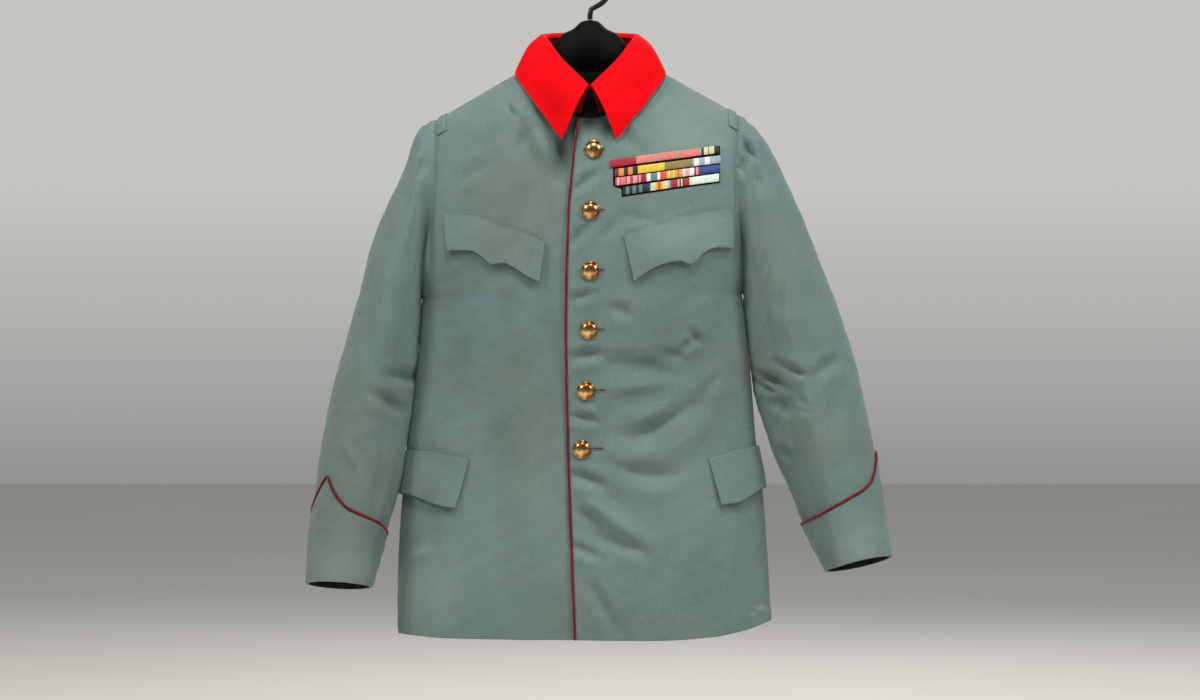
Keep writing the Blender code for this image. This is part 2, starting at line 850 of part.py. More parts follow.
def collar_row(along):
    """Neck seam, fold and outer edge of the collar; along runs from -1 to 1, 0 at the centre back."""
    sign = 1 if along >= 0 else -1
    row = Collar(*(between(COLLAR, 1.0 - abs(along), column) for column in Collar._fields))
    base = Vector((sign * row.base_x, row.base_y, -row.base_down))
    fold = Vector((sign * row.fold_x, row.fold_y, -row.fold_down))
    turn = sign * row.edge_turn
    return base, fold, form(turn, row.edge_down) + outward(turn, row.edge_down) * COLLAR_REST


def fold_frame(along):
    """Two directions square to the collar's fold: level and out of the neck, and up over the fold."""
    step = 0.02
    run = (collar_row(min(along + step, 1.0))[1] - collar_row(max(along - step, -1.0))[1]).normalized()
    out = Vector((0, 0, 1)).cross(run).normalized()
    return out, run.cross(out)


def stand_place(along, share):
    base, fold, _ = collar_row(along)
    return base.lerp(fold, share) * MM


def leaf_place(along, row):
    _, fold, edge = collar_row(along)
    out, up = fold_frame(along)
    if row < len(LEAF_TOP):
        spot = LEAF_TOP[int(row)]
        return (fold + out * spot.out + up * spot.up) * MM
    share = (row - len(LEAF_TOP) + 1) / LEAF_ROWS
    top = fold + out * LEAF_TOP[-1].out
    bulge = COLLAR_BULGE * math.sin(math.pi * share ** 0.6)
    return (top.lerp(edge, share) + out * bulge) * MM


def make_collar():
    """Standing band round the neck and the leaf that turns over it."""
    spread = even(COLLAR_COLUMNS, -1.0, 1.0)
    rows = even(3, 0.0, STAND_TOP)
    cloth("collar_stand", spread[::-1], rows, stand_place, "collar", COLLAR_WALL)
    rows = [float(i) for i in range(len(LEAF_TOP) + LEAF_ROWS)]
    cloth("collar_fall", spread, rows, leaf_place, "collar", COLLAR_WALL, grow=1.0)


# Flaps, loops, ribbons


def make_breast_flap(side):
    """Scalloped flap that lies on a front."""
    table = BREAST_FLAPS[side]
    columns = even(2 * (len(table) - 1), 0.0, table[-1].column)

    def place(column, share):
        x = mix(between(table, column, "bottom_x"), between(table, column, "top_x"), share)
        down = mix(between(table, column, "bottom"), between(table, column, "top"), share)
        return on_cloth(turn_at(x, down), down, REST)

    if side == "left":
        columns = columns[::-1]
    cloth(f"flap_breast_{side}", columns, even(3), place, "cloth", FLAP_WALL, grow=1.0)


def make_hip_flap(side):
    """Flap that wraps round the side, over the side seam."""
    ordered = sorted(HIP_FLAPS[side])

    def place(turn, share):
        down = mix(between(ordered, turn, "bottom"), between(ordered, turn, "top"), share)
        from_side = max(0.0, 90.0 - abs(turn)) / HIP_LEAN_SPAN
        lean = HIP_LEAN * (1.0 - share) * from_side
        return on_cloth(turn + math.copysign(lean, turn), down, WRAP_REST)

    columns = even(16, ordered[0].turn, ordered[-1].turn)
    cloth(f"flap_hip_{side}", columns, even(3), place, "cloth", FLAP_WALL, grow=1.0)


def shoulder_line(side, from_end):
    """Height of the shoulder seam, and its x, by the distance in from its end."""
    end = SHOULDER_END[side]
    x = end.x - from_end
    return x, mix(NECK_SIDE_DOWN, end.down, (x - NECK_X) / (end.x - NECK_X))


def make_loop(side):
    """Narrow loop that crosses the shoulder from front to back."""
    sign = 1 if side == "left" else -1

    def place(column, share):
        from_end = LOOP_FROM_END - LOOP_WIDTH / 2 + LOOP_WIDTH * share
        x, ridge = shoulder_line(side, from_end)
        down = ridge + LOOP_REACH * column * column
        return on_cloth(turn_at(sign * x, down, back=column > 0), down, WRAP_REST)

    columns = even(14, -1.0, 1.0)
    if side == "right":
        columns = columns[::-1]
    cloth(f"shoulder_loop_{side}", columns, [0.0, 1.0], place, "cloth", FLAP_WALL, grow=1.0)


def make_ribbons():
    """Rows of ribbon bars, one above the other."""
    for number, row in enumerate(RIBBONS, 1):

        def place(share, up, row=row):
            x = mix(row.from_x, row.to_x, share)
            down = mix(row.from_down, row.to_down, share) - up * RIBBON_HEIGHT / 2
            return on_cloth(turn_at(x, down), down, REST)

        cloth(f"ribbon_row_{number}", even(10), [-1.0, 1.0], place, "ribbon", RIBBON_WALL, grow=1.0)


# Piping and buttons of the front


def make_edge_piping():
    """Cord along the free front edge, from the neckline to the hem."""
    line = []
    top = inner_edge("left", 2.0)[1]
    for down in even(26, top + 1.0, hem_down(FREE_EDGE[-1].x)):
        x = between(FREE_EDGE, down, "x") - PIPING_RADIUS - SEAM
        line.append(on_cloth(turn_at(x, down), down, 0.0))
    tube("edge_piping", line, PIPING_RADIUS, "piping", sides=1)


def make_button(number, spot):
    """Domed button, turned round its axis, square to the cloth."""
    mesh = bpy.data.meshes.new(f"button_{number}")
    points = [(rim.out * BUTTON_RADIUS * MM, 0.0, rim.up * BUTTON_DOME * MM) for rim in BUTTON_SECTION]
    mesh.from_pydata(points, [(i, i + 1) for i in range(len(points) - 1)], [])
    made = finish(f"button_{number}", mesh, "gilt")
    turned = made.modifiers.new("turned", "SCREW")
    turned.steps = BUTTON_STEPS
    turned.render_steps = BUTTON_STEPS
    turned.use_merge_vertices = True
    turned.merge_threshold = 0.00001
    turn = turn_at(spot.x, spot.down)
    made.location = on_cloth(turn, spot.down, WRAP_REST)
    made.rotation_mode = "QUATERNION"
    made.rotation_quaternion = outward(turn, spot.down).to_track_quat("Z", "Y")


# Hanger


def hanger_place(round_it, x):
    """Point of the hanger's loft: an ellipse at each distance from its middle."""
    at = abs(x)
    top, tall, deep = (between(HANGER, at, column) for column in ("top", "tall", "deep"))
    radians = math.radians(round_it)
    return Vector((x, deep * math.sin(radians), -(top + tall / 2) + tall / 2 * math.cos(radians))) * MM


def make_hanger():
    """Broad hanger body, lofted from end to end."""
    work = bmesh.new()
    half = [row.x for row in HANGER]
    places = [-x for x in half[::-1]] + half[1:]
    rings = []
    for x in places:
        rings.append([work.verts.new(hanger_place(angle, x)) for angle in even(14, 0.0, 360.0)[:-1]])
    for before, after in zip(rings, rings[1:]):
        for i in range(len(before)):
            j = (i + 1) % len(before)
            work.faces.new((before[i], before[j], after[j], after[i]))
    work.faces.new(rings[0][::-1])
    work.faces.new(rings[-1])
    bmesh.ops.recalc_face_normals(work, faces=work.faces)
    mesh = bpy.data.meshes.new("hanger_body")
    work.to_mesh(mesh)
    work.free()
    finish("hanger_body", mesh, "hanger")


def make_hook():
    """Wire hook: a short shank, then a bend that is open on the wearer's right."""
    line = [Vector((across, 0, up - HOOK_ROOT_DOWN)) for across, up in HOOK_ROOT]
    centre = Vector((0, 0, HOOK_RADIUS - HOOK_BEND))
    for angle in even(15, HOOK_FROM, HOOK_TO):
        radians = math.radians(angle)
        line.append(centre + Vector((math.cos(radians), 0, math.sin(radians))) * HOOK_BEND)
    tube("hanger_hook", [point * MM for point in line], HOOK_RADIUS, "hanger")


def main():
    make_body()
    for side in ("right", "left"):
        make_sleeve(side)
        make_cuff(side)
        make_breast_flap(side)
        make_hip_flap(side)
        make_loop(side)
    make_collar()
    make_ribbons()
    make_edge_piping()
    for number, spot in enumerate(BUTTONS, 1):
        make_button(number, spot)
    make_hanger()
    make_hook()


main()
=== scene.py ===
# %% [markdown]
# # A military tunic on its hanger
#
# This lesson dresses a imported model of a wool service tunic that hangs, buttoned up, from a broad
# black hanger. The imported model, the frame, has every piece as a plain solid at its real size.
# Here each piece of cloth is laid again over the same form as a much finer shell, with its creases,
# rolled edges, stitches and buttonholes, and every surface gets a material made from nodes.
#
# Lengths in the tables are millimetres. "down" is the distance below the inner top of the hook,
# which is the origin. +X is the wearer's left, -Y the front and +Z up.

import math
from collections import namedtuple

import bmesh
import bpy
import numpy as np
from mathutils import Matrix, Vector


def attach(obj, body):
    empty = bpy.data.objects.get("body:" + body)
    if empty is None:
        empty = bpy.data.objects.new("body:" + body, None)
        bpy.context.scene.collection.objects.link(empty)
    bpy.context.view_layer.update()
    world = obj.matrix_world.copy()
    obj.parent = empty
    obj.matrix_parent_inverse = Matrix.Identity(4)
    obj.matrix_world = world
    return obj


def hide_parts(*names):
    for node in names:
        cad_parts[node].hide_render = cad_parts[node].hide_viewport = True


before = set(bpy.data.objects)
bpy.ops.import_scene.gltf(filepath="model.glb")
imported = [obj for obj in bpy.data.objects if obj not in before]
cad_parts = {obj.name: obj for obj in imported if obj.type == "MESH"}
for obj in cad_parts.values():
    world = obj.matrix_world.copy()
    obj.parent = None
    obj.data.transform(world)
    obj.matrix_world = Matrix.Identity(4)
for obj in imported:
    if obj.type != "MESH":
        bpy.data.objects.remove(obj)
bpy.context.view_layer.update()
MM = 0.001
print("frame nodes:", len(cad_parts))

# %% [markdown]
# ## Small tools
#
# A few small tools serve the whole file. `table` turns plain rows of numbers into rows whose
# columns have names. `between` reads a column of a table at any place, eased so that it never
# swings past its rows. `ease` is a soft step, and `smooth_through` bends a surface smoothly through
# stacked lines. They take whole arrays, because a fine piece of cloth has tens of thousands of
# points. `linear` turns a colour written as the hex value that a painting program shows into the
# linear light values that shaders work with.


# %% Reading tables and colours
def table(kind, *rows):
    """Rows of numbers as named rows of one kind."""
    return tuple(kind(*row) for row in rows)


def mix(a, b, share):
    return a + (b - a) * share


def ease(share):
    share = np.clip(share, 0.0, 1.0)
    return share * share * (3.0 - 2.0 * share)


def apart(angle, other):
    """Signed difference of two angles, from -180 to 180 degrees."""
    return (angle - other + 180.0) % 360.0 - 180.0


def between(rows, at, column):
    """Values of a table's column at places on its first column."""
    places = np.array([row[0] for row in rows], float)
    values = np.array([getattr(row, column) for row in rows], float)
    steps = np.diff(places)
    secants = np.diff(values) / steps
    before, after = secants[:-1], secants[1:]
    same_way = before * after > 0.0
    total = np.where(same_way, before + after, 1.0)
    inner = np.where(same_way, 2.0 * before * after / total, 0.0)
    slopes = np.concatenate([secants[:1], inner, secants[-1:]])
    at = np.clip(np.asarray(at, float), places[0], places[-1])
    i = np.clip(np.searchsorted(places, at, side="right") - 1, 0, len(steps) - 1)
    t = (at - places[i]) / steps[i]
    start = values[i] * (1 + 2 * t) * (1 - t) ** 2 + slopes[i] * steps[i] * t * (1 - t) ** 2
    end = values[i + 1] * t * t * (3 - 2 * t) + slopes[i + 1] * steps[i] * t * t * (t - 1)
    return start + end


def smooth_through(lines, at, end_slope):
    """Points on a smooth curve through stacked lines; end_slope is how much of a step its ends keep."""
    last = len(lines) - 1
    i = np.minimum(at.astype(int), last - 1)
    t = (at - i)[..., None]

    def line(k):
        return np.take_along_axis(lines, np.clip(k, 0, last)[None, ..., None], axis=0)[0]

    here, there = line(i), line(i + 1)
    straight = (there - here) * end_slope
    slope_in = np.where((i > 0)[..., None], (there - line(i - 1)) / 2, straight)
    slope_out = np.where((i < last - 1)[..., None], (line(i + 2) - here) / 2, straight)
    point = here * (1 + 2 * t) * (1 - t) ** 2 + slope_in * t * (1 - t) ** 2
    return point + there * t * t * (3 - 2 * t) + slope_out * t * t * (t - 1)


def unit(vectors):
    return vectors / np.linalg.norm(vectors, axis=-1, keepdims=True)


def linear(colour):
    """RGBA for a shader from an sRGB hex colour."""
    parts = [int(colour[i : i + 2], 16) / 255.0 for i in (1, 3, 5)]
    return (*(c / 12.92 if c <= 0.04045 else ((c + 0.055) / 1.055) ** 2.4 for c in parts), 1.0)


print("cloth grey in linear light:", [round(c, 3) for c in linear("#71837c")])

# %% [markdown]
# ## The form under the cloth
#
# A hanging tunic is a flattened tube. Its section at each height is an ellipse squared off a
# little, as wide as the panels are and as deep as the tables say. The tables are the tailor's
# measures of this tunic: widths at the side seams, depths front and back, the dip of the hem,
# the free front edge, and the few large folds. They repeat the sizes of the frame's solids, so
# everything made here lies where the frame has it.

# %% Measures of the body
# Thickness of the cloth, the gap at a seam, and the gap under what lies flat and what wraps round
WALL = 2.0
SLEEVE_WALL = 1.8
FLAP_WALL = 1.8
COLLAR_WALL = 1.8
CUFF_WALL = 1.6
SEAM = 0.4
REST = 0.5
WRAP_REST = 0.75
# How far the left front laps over the right one, and the step back that makes room for it
LAP = 25.0
LAP_STEP = WALL + 1.3
LAP_STEP_FROM = 84.0
LAP_STEP_TO = 52.0
# The neckline and the lines where the rows of the panels change from one part to the next
NECK_X = 72.0
NECK_SIDE_DOWN = 121.0
NECK_FRONT_DOWN = 198.0
NECK_BACK_DOWN = 128.0
CHEST_EDGE_DOWN = 380.0
CHEST_SIDE_DOWN = 250.0
ARMHOLE_DEEP = 235.0
NECK_SHARE = 0.36
# How square the sections are, and how fast folds die out towards the sides
FULLNESS = 2.4
SIDE_FADE = 1.6

# Which way from the middle each side lies
SIGN = {"left": 1, "right": -1}
Shoulder = namedtuple("Shoulder", "x down")
SHOULDER_END = {"right": Shoulder(203.0, 197.0), "left": Shoulder(196.0, 190.0)}
Side = namedtuple("Side", "down right left")
SIDES = table(
    Side,
    (190, 203, 196), (240, 202, 192), (270, 202, 190), (305, 205, 191), (350, 212, 196),
    (390, 218, 198), (430, 222, 202), (490, 226, 209), (545, 232, 214), (620, 242, 220),
    (660, 245, 226), (710, 250, 231), (780, 254, 236), (840, 255, 239), (888, 252, 241),
)
Bulge = namedtuple("Bulge", "below out")
BULGES = table(
    Bulge,
    (0, 0), (8, 9), (25, 20), (60, 32), (110, 38), (150, 36), (190, 24), (220, 9), (235, 0),
)
Depth = namedtuple("Depth", "down front back")
DEPTHS = table(
    Depth,
    (119, 25, 36), (133, 35, 51), (150, 42, 57), (165, 48, 63), (194, 57, 69), (240, 67, 75),
    (300, 76, 79), (380, 80, 79), (460, 78, 73), (545, 72, 66), (640, 70, 66), (760, 68, 66),
    (888, 64, 64),
)
Hem = namedtuple("Hem", "x down")
HEM = table(
    Hem,
    (-252, 873), (-170, 877), (0, 878), (80, 879), (160, 875), (200, 868), (241, 855),
)
Edge = namedtuple("Edge", "down x")
FREE_EDGE = table(
    Edge,
    (190, -10), (236, -18), (276, -22), (330, -26), (474, -29), (632, -26), (777, -21), (884, -17),
)
print("chest, laid flat:", SIDES[5].right + SIDES[5].left, "mm")

# %% [markdown]
# ## Folds and creases
#
# Wool cloth hangs in a few broad folds and takes small sharp creases where it was bent, folded
# away or pulled by a button. Simulating them would give other creases than this tunic's own, so
# they are listed one by one, each as one row: where its middle is, which way it runs (the angle
# rises from +X), how long and wide it is, how deep (a trough is negative) and how far its middle
# bows away from a straight line. A crease has a sharp trough with a soft lip on both sides, a fold
# is one soft wave.

# %% Tables of folds and creases
Fold = namedtuple("Fold", "x down angle length width depth")
FRONT_FOLDS = table(
    Fold,
    (75, 545, 22, 170, 22, -6), (80, 612, -14, 160, 20, -5), (45, 650, -38, 110, 18, 4),
    (15, 745, -28, 120, 20, -4), (-170, 560, 80, 260, 34, -5), (-95, 700, 84, 300, 36, 5),
    (150, 740, 84, 240, 34, 5), (125, 440, 60, 150, 24, -4), (-80, 215, 66, 90, 18, -4),
)
BACK_FOLDS = table(
    Fold,
    (-60, 640, 86, 380, 34, -6), (40, 660, 94, 360, 32, 6), (120, 560, 78, 260, 30, -5),
    (-140, 430, 58, 200, 28, -5), (145, 360, 118, 180, 26, -4),
)
Crease = namedtuple("Crease", "x down angle length width depth bow")
CREASES = {
    "front_left": table(
        Crease,
        # Puckers at the free edge, between one button and the next
        (-3, 281, 42, 56, 6, -5.7, 2), (-12, 352, 55, 46, 6, -4.9, 2), (26, 342, 48, 50, 7, -3.8, -2),
        (-8, 432, 20, 50, 6, -4.6, 2), (38, 452, -22, 58, 8, -3.8, 3), (-3, 510, 8, 56, 7, -6.1, 3),
        (-8, 591, -14, 52, 6, -5.7, 2), (-4, 671, -20, 66, 7, -6.1, 3), (3, 719, -30, 56, 7, -4.6, 2),
        # Long folds that the lower buttons pull across the waist
        (56, 524, -8, 110, 12, -3.6, 4), (70, 549, 7, 150, 12, 5.7, 3), (92, 590, 30, 130, 9, -7.2, -6),
        (72, 646, -10, 130, 11, -6.2, -16), (100, 614, 20, 170, 13, 4.6, -14),
        (30, 718, -38, 140, 11, 6.8, -4), (52, 757, -30, 76, 9, -4.9, 3),
        (-6, 762, -25, 66, 6, -4.9, 0), (12, 834, -62, 96, 7, -5.3, 5), (96, 790, 66, 120, 14, -3.4, 5),
        (188, 760, 84, 150, 14, 3.8, 3),
        # Short breaks where the cloth was folded away
        (136, 484, -54, 44, 5, -4.6, 2), (131, 492, 40, 38, 5, -3.4, 1),
        (108, 510, -20, 56, 7, -3.4, 3), (150, 566, 62, 90, 8, -3.4, 4), (60, 330, -12, 70, 8, -2.7, 3),
        (52, 222, -48, 80, 9, -3.8, -3),
    ),
    "front_right": table(
        Crease,
        (-103, 187, -65, 24, 3.5, -4.6, 0), (-80, 222, 62, 46, 6, -4.2, 2),
        (-48, 232, -65, 84, 8, -6.8, 3), (-36, 252, -78, 46, 6, -5.5, 0),
        (-88, 212, -80, 44, 6, -3.4, 2), (-85, 248, -66, 96, 12, -6.1, 5),
        (-66, 290, 65, 140, 18, -6.1, 4), (-42, 270, -80, 56, 8, -3.4, 0),
        (-60, 470, -84, 180, 16, -3.8, 6), (-150, 500, 78, 150, 14, 3.8, 5),
        (-118, 690, 88, 460, 42, -9.5, 8), (-60, 720, 86, 300, 22, 4.6, 4),
        (-120, 620, 62, 90, 10, -3.0, 5), (-224, 772, 30, 60, 8, 4.2, 2),
        (-200, 560, 72, 110, 10, -3.8, 4), (-188, 720, 84, 110, 10, 3.8, 4),
        (-150, 270, 30, 70, 9, -2.7, 4),
    ),
    "back": table(
        Crease,
        (-30, 420, 84, 170, 12, -4.9, 6), (60, 470, 40, 130, 9, -5.3, 6),
        (-90, 540, -32, 140, 9, -6.1, -8), (110, 640, -24, 130, 9, -5.7, 7),
        (20, 720, 66, 140, 10, -4.6, 6), (-150, 680, 74, 150, 12, 4.6, 5),
        (150, 780, 82, 140, 12, 4.2, 5), (-60, 800, 80, 130, 12, -3.8, 4),
        (-110, 250, 28, 90, 9, -4.2, 4), (100, 260, -30, 90, 9, -4.2, 4), (0, 175, 0, 100, 9, -3.0, -6),
        (30, 560, -12, 110, 8, -4.6, 4),
    ),
}
WAVER = 0.7
EDGE_FADE = 18.0
print("creases:", sum(len(rows) for rows in CREASES.values()))


# %% Heights of folds and creases
def along_across(row, right, up):
    """Distances along and across a fold of a place right of its middle and above it."""
    turned = math.radians(row.angle)
    along = right * math.cos(turned) + up * math.sin(turned)
    return along / (row.length / 2), up * math.cos(turned) - right * math.sin(turned)


def from_middle(x, down):
    """Two functions: how far right of a fold's middle places lie, and how far above it."""
    return lambda row: x - row.x, lambda row: row.down - down


def fold_height(rows, right_of, above):
    """Height of broad folds."""
    height = 0.0
    for row in rows:
        reach, across = along_across(row, right_of(row), above(row))
        fade = np.cos(np.clip(np.abs(reach), 0, 1) * math.pi / 2) ** 2
        height = height + row.depth * fade * np.exp(-((across / row.width) ** 2))
    return height


def crease_height(rows, right_of, above):
    """Height of sharp creases, each a trough between two soft lips."""
    height = 0.0
    for row in rows:
        reach, across = along_across(row, right_of(row), above(row))
        across = across - row.bow * (1.0 - np.clip(reach * reach, 0, 1))
        fade = np.cos(np.clip(np.abs(reach), 0, 1) * math.pi / 2) ** 1.5
        trough = np.exp(-np.abs(across / row.width) ** 1.6)
        lips = np.exp(-(((np.abs(across) - 2.0 * row.width) / (1.1 * row.width)) ** 2))
        height = height + row.depth * fade * (trough - 0.35 * lips)
    return height


def waver(a, b):
    """Slight unevenness of hanging cloth: crossed waves of lengths that never fall in step."""
    wave = np.sin(a / 17.0 + 1.3 * np.sin(b / 41.0)) * np.sin(b / 23.0 + 0.9)
    return WAVER * (wave + 0.6 * np.sin(a / 7.3 + b / 11.0) * np.sin(b / 9.1 - a / 31.0))


# %% The form as a function
def panel_edge(side, down):
    """Half width at the panels' edge: the shoulder seam, the armhole, then the side seam."""
    end = SHOULDER_END[side]
    seam = mix(NECK_X, end.x, (down - NECK_SIDE_DOWN) / (end.down - NECK_SIDE_DOWN))
    return np.where(down < end.down, seam, between(SIDES, down, side))


def half_width(side, down):
    return panel_edge(side, down) + between(BULGES, down - SHOULDER_END[side].down, "out")


def by_side(function, turn_or_x, down):
    """Values of a function of side and height, for places on both sides."""
    return np.where(turn_or_x >= 0, function("left", down), function("right", down))


def form(turn, down):
    """Points of the cloth's outer face, by the angle round the body and the height."""
    turn, down = np.broadcast_arrays(np.asarray(turn, float), np.asarray(down, float))
    sine, cosine = np.sin(np.radians(np.abs(turn))), np.cos(np.radians(np.abs(turn)))
    x = by_side(half_width, turn, down) * np.abs(sine) ** (2.0 / FULLNESS)
    x = np.where(turn >= 0, x, -x)
    front = cosine > 0.0
    deep = np.where(front, between(DEPTHS, down, "front"), between(DEPTHS, down, "back"))
    places = from_middle(x, down)
    folds = np.where(front, fold_height(FRONT_FOLDS, *places), fold_height(BACK_FOLDS, *places))
    deep = deep * np.abs(cosine) + folds * np.minimum(1.0, SIDE_FADE * np.abs(cosine))
    return np.stack([x, np.where(front, -deep, deep), -down], axis=-1)


def turn_at(x, down, back=False):
    """Angle round the body of places at a distance from its middle."""
    x, down = np.broadcast_arrays(np.asarray(x, float), np.asarray(down, float))
    share = np.minimum(np.abs(x) / by_side(half_width, x, down), 1.0)
    turn = np.degrees(np.arcsin(share ** (FULLNESS / 2.0)))
    turn = np.where(back, 180.0 - turn, turn)
    return np.where(x >= 0, turn, -turn)


def outward(turn, down):
    """Directions square to the cloth."""
    span = 1.5
    round_it = form(turn + span, down) - form(turn - span, down)
    up = form(turn, down - span) - form(turn, down + span)
    return unit(np.cross(round_it, up))


def panel_creases(panel, turn, down):
    """Height of a panel's creases, which die out towards its side seams and armholes."""
    x = form(turn, down)[..., 0]
    height = crease_height(CREASES[panel], *from_middle(x, down))
    inside = ease((by_side(panel_edge, x, down) - np.abs(x)) / EDGE_FADE)
    fade = np.minimum(1.0, SIDE_FADE * np.abs(np.cos(np.radians(turn))))
    return (height + waver(x, down)) * fade * inside


def body_height(turn, down):
    """Height of the creases wherever something lies on the body."""
    x = form(turn, down)[..., 0]
    free = between(FREE_EDGE, down, "x")
    left, right = panel_creases("front_left", turn, down), panel_creases("front_right", turn, down)
    front = np.where(x > free, left, right)
    return np.where(np.abs(turn) > 90.0, panel_creases("back", turn, down), front)


def on_cloth(turn, down, lift):
    """Points at a height above the creased cloth, in metres."""
    turn, down = np.broadcast_arrays(np.asarray(turn, float), np.asarray(down, float))
    lifted = np.asarray(lift + body_height(turn, down))[..., None]
    return (form(turn, down) + outward(turn, down) * lifted) * MM


# A button sits at a place along its hole: "hole" is how far right of it the hole starts
Button = namedtuple("Button", "x down hole")
BUTTONS = table(
    Button,
    (5, 239, -13), (1, 319, -9), (1, 397, -8), (-1, 474, -6), (-5, 553, 0), (-10, 629, 1),
)
print("depth at the chest:", round(float(np.ptp(form(np.array([0.0, 180.0]), 380.0)[:, 1])), 1), "mm")

# %% [markdown]
# ## Nodes for materials
#
# A material is a small graph. `add` is the one helper for it: it makes a node of a kind, sets its
# properties and feeds its inputs. An input is fed by a plain value, by a colour as a hex value, by
# an output socket, or by a whole node, and then by the first of its outputs that is in use.
# Everything that follows builds its finishes from it.


# %% One helper for every node
# Inputs of the Mix node when it mixes colours
FACTOR, FIRST, SECOND = 0, 6, 7


def feed(tree, node, inputs):
    """Gives a node's inputs their values, or joins them to what feeds them."""
    for name, value in inputs.items():
        if isinstance(value, bpy.types.Node):
            value = next(output for output in value.outputs if output.enabled)
        if isinstance(value, bpy.types.NodeSocket):
            tree.links.new(value, node.inputs[name])
        else:
            node.inputs[name].default_value = linear(value) if isinstance(value, str) else value


def add(tree, kind, inputs=None, **settings):
    """Adds a node with its settings and what feeds it."""
    node = tree.nodes.new("ShaderNode" + kind)
    for name, value in settings.items():
        setattr(node, name, value)
    feed(tree, node, inputs or {})
    return node


def new_material(name):
    """Empty material, with its tree, its Principled shader and a socket that gives places on the piece."""
    made = bpy.data.materials.new(name)
    made.use_nodes = True
    tree = made.node_tree
    return made, tree, tree.nodes["Principled BSDF"], add(tree, "TexCoord").outputs["Object"]


# %% [markdown]
# ## Grey-green tunic cloth
#
# The tunic is a light, smooth wool cloth with a close twill weave: threads about 0.4 mm apart,
# finished with a short nap that hides them from a few steps away. What the eye sees is a matte
# surface with a faint mottle, where threads took the dye unevenly, and broader patches that time
# and light have turned a little warmer or bluer. The mottle is a noise drawn out along the threads
# and read in the cut's own coordinates, so that it turns with each piece. The twill is too fine to
# show in a picture of the whole tunic. Its slanting ribs are drawn far coarser, as a faint
# unevenness of the relief. Soft patches with places of their own stand for dust and make some
# broad places a little lighter or darker. Others are painted shade: under the collar's points,
# along the armholes, on the sleeves' sides that face the body and in sharp creases.

# %% Tunic cloth
# Slanting ribs about 12 mm apart, many times coarser than the threads
TWILL_SCALE = 38.46
SLUB_LONG = 14.0 * MM
SLUB_WIDE = 1.6 * MM
CLOTH_DARK = "#627772"
CLOTH_LIGHT = "#6e8480"

# Broad drift of the dye, warmer in places and bluer in others
Drift = namedtuple("Drift", "scale low high colour strength")
DRIFTS = table(
    Drift,
    (5.0, 0.50, 0.70, "#6f7266", 0.55),
    (3.6, 0.50, 0.68, "#667b80", 0.6),
    (26.0, 0.48, 0.70, "#5c706c", 0.5),
)
# Soft patches on the front: where they are, how wide and tall, how strong, their colour and tilt
Patch = namedtuple("Patch", "x z wide tall strength colour tilt", defaults=(0.0,))
# Painted shade: the near-black patches under the collar's points and in its V, and the dark armhole strips
PATCHES = table(
    Patch,
    (-95, -300, 80, 160, 0.3, "#6f6b5e"), (-130, -364, 32, 24, 0.3, "#6e6452"),
    (-70, -560, 80, 130, 0.22, "#686a5f"), (130, -225, 90, 80, 0.55, "#869a94"),
    (119, -350, 95, 50, 0.4, "#8ba09a"), (119, -470, 75, 50, 0.4, "#53635e"),
    (-200, -810, 60, 90, 0.4, "#8aa09b"), (-62, -194, 44, 8, 0.7, "#26302d", 50.0),
    (90, -500, 90, 70, 0.3, "#596865"), (-36, -236, 26, 56, 0.85, "#1f2825"),
    (0, -200, 40, 26, 0.95, "#121616"), (22, -210, 16, 26, 0.8, "#1c2421"),
    (-20, -214, 16, 34, 0.85, "#1c2421"), (-206, -350, 8, 100, 0.55, "#333f3b"),
    (193, -350, 8, 90, 0.55, "#333f3b"), (224, -838, 13, 5, 0.55, "#9a9a94"),
    (214, -846, 9, 4, 0.5, "#9a9a94"), (236, -843, 8, 4, 0.45, "#96968f"),
    (-120, -830, 100, 60, 0.2, "#66797e"), (-60, -740, 200, 160, 0.35, "#7d948e"),
    (110, -700, 150, 160, 0.25, "#7d948e"),
)
# Painted shade along both armholes and on the sides that face the body; the cuffs are paler
SLEEVE_PATCHES = table(
    Patch,
    (-214, -360, 12, 100, 0.7, "#2c3734"), (-250, -500, 30, 90, 0.38, "#53645e"),
    (-256, -580, 34, 80, 0.42, "#53645e"), (-268, -660, 34, 70, 0.42, "#53645e"),
    (-282, -740, 30, 60, 0.45, "#53645e"), (200, -360, 12, 95, 0.7, "#2c3734"),
    (244, -550, 40, 70, 0.42, "#53645e"), (266, -630, 36, 70, 0.45, "#53645e"),
    (287, -700, 32, 60, 0.45, "#53645e"), (310, -765, 24, 50, 0.45, "#53645e"),
    (-325, -780, 60, 70, 0.4, "#8b9a92"), (350, -750, 60, 70, 0.4, "#8d9b94"),
    # Painted shade in the deep creases of the left sleeve, at its head and at the elbow
    (207, -239, 16, 5.5, 0.6, "#3c4a46", 40.0), (203, -252, 9, 3.5, 0.35, "#44524e", 15.0),
    (195, -260, 9, 4.2, 0.5, "#44524e", 32.0), (220, -275, 12, 6, 0.35, "#4c5b56", 60.0),
    (237, -539, 24, 4.2, 0.5, "#3c4a46", 36.0), (272, -530, 12, 4, 0.35, "#44524e", 32.0),
    (234, -549, 12, 4, 0.3, "#44524e", 22.0), (251, -574, 15, 7, 0.35, "#44524e", 35.0),
)


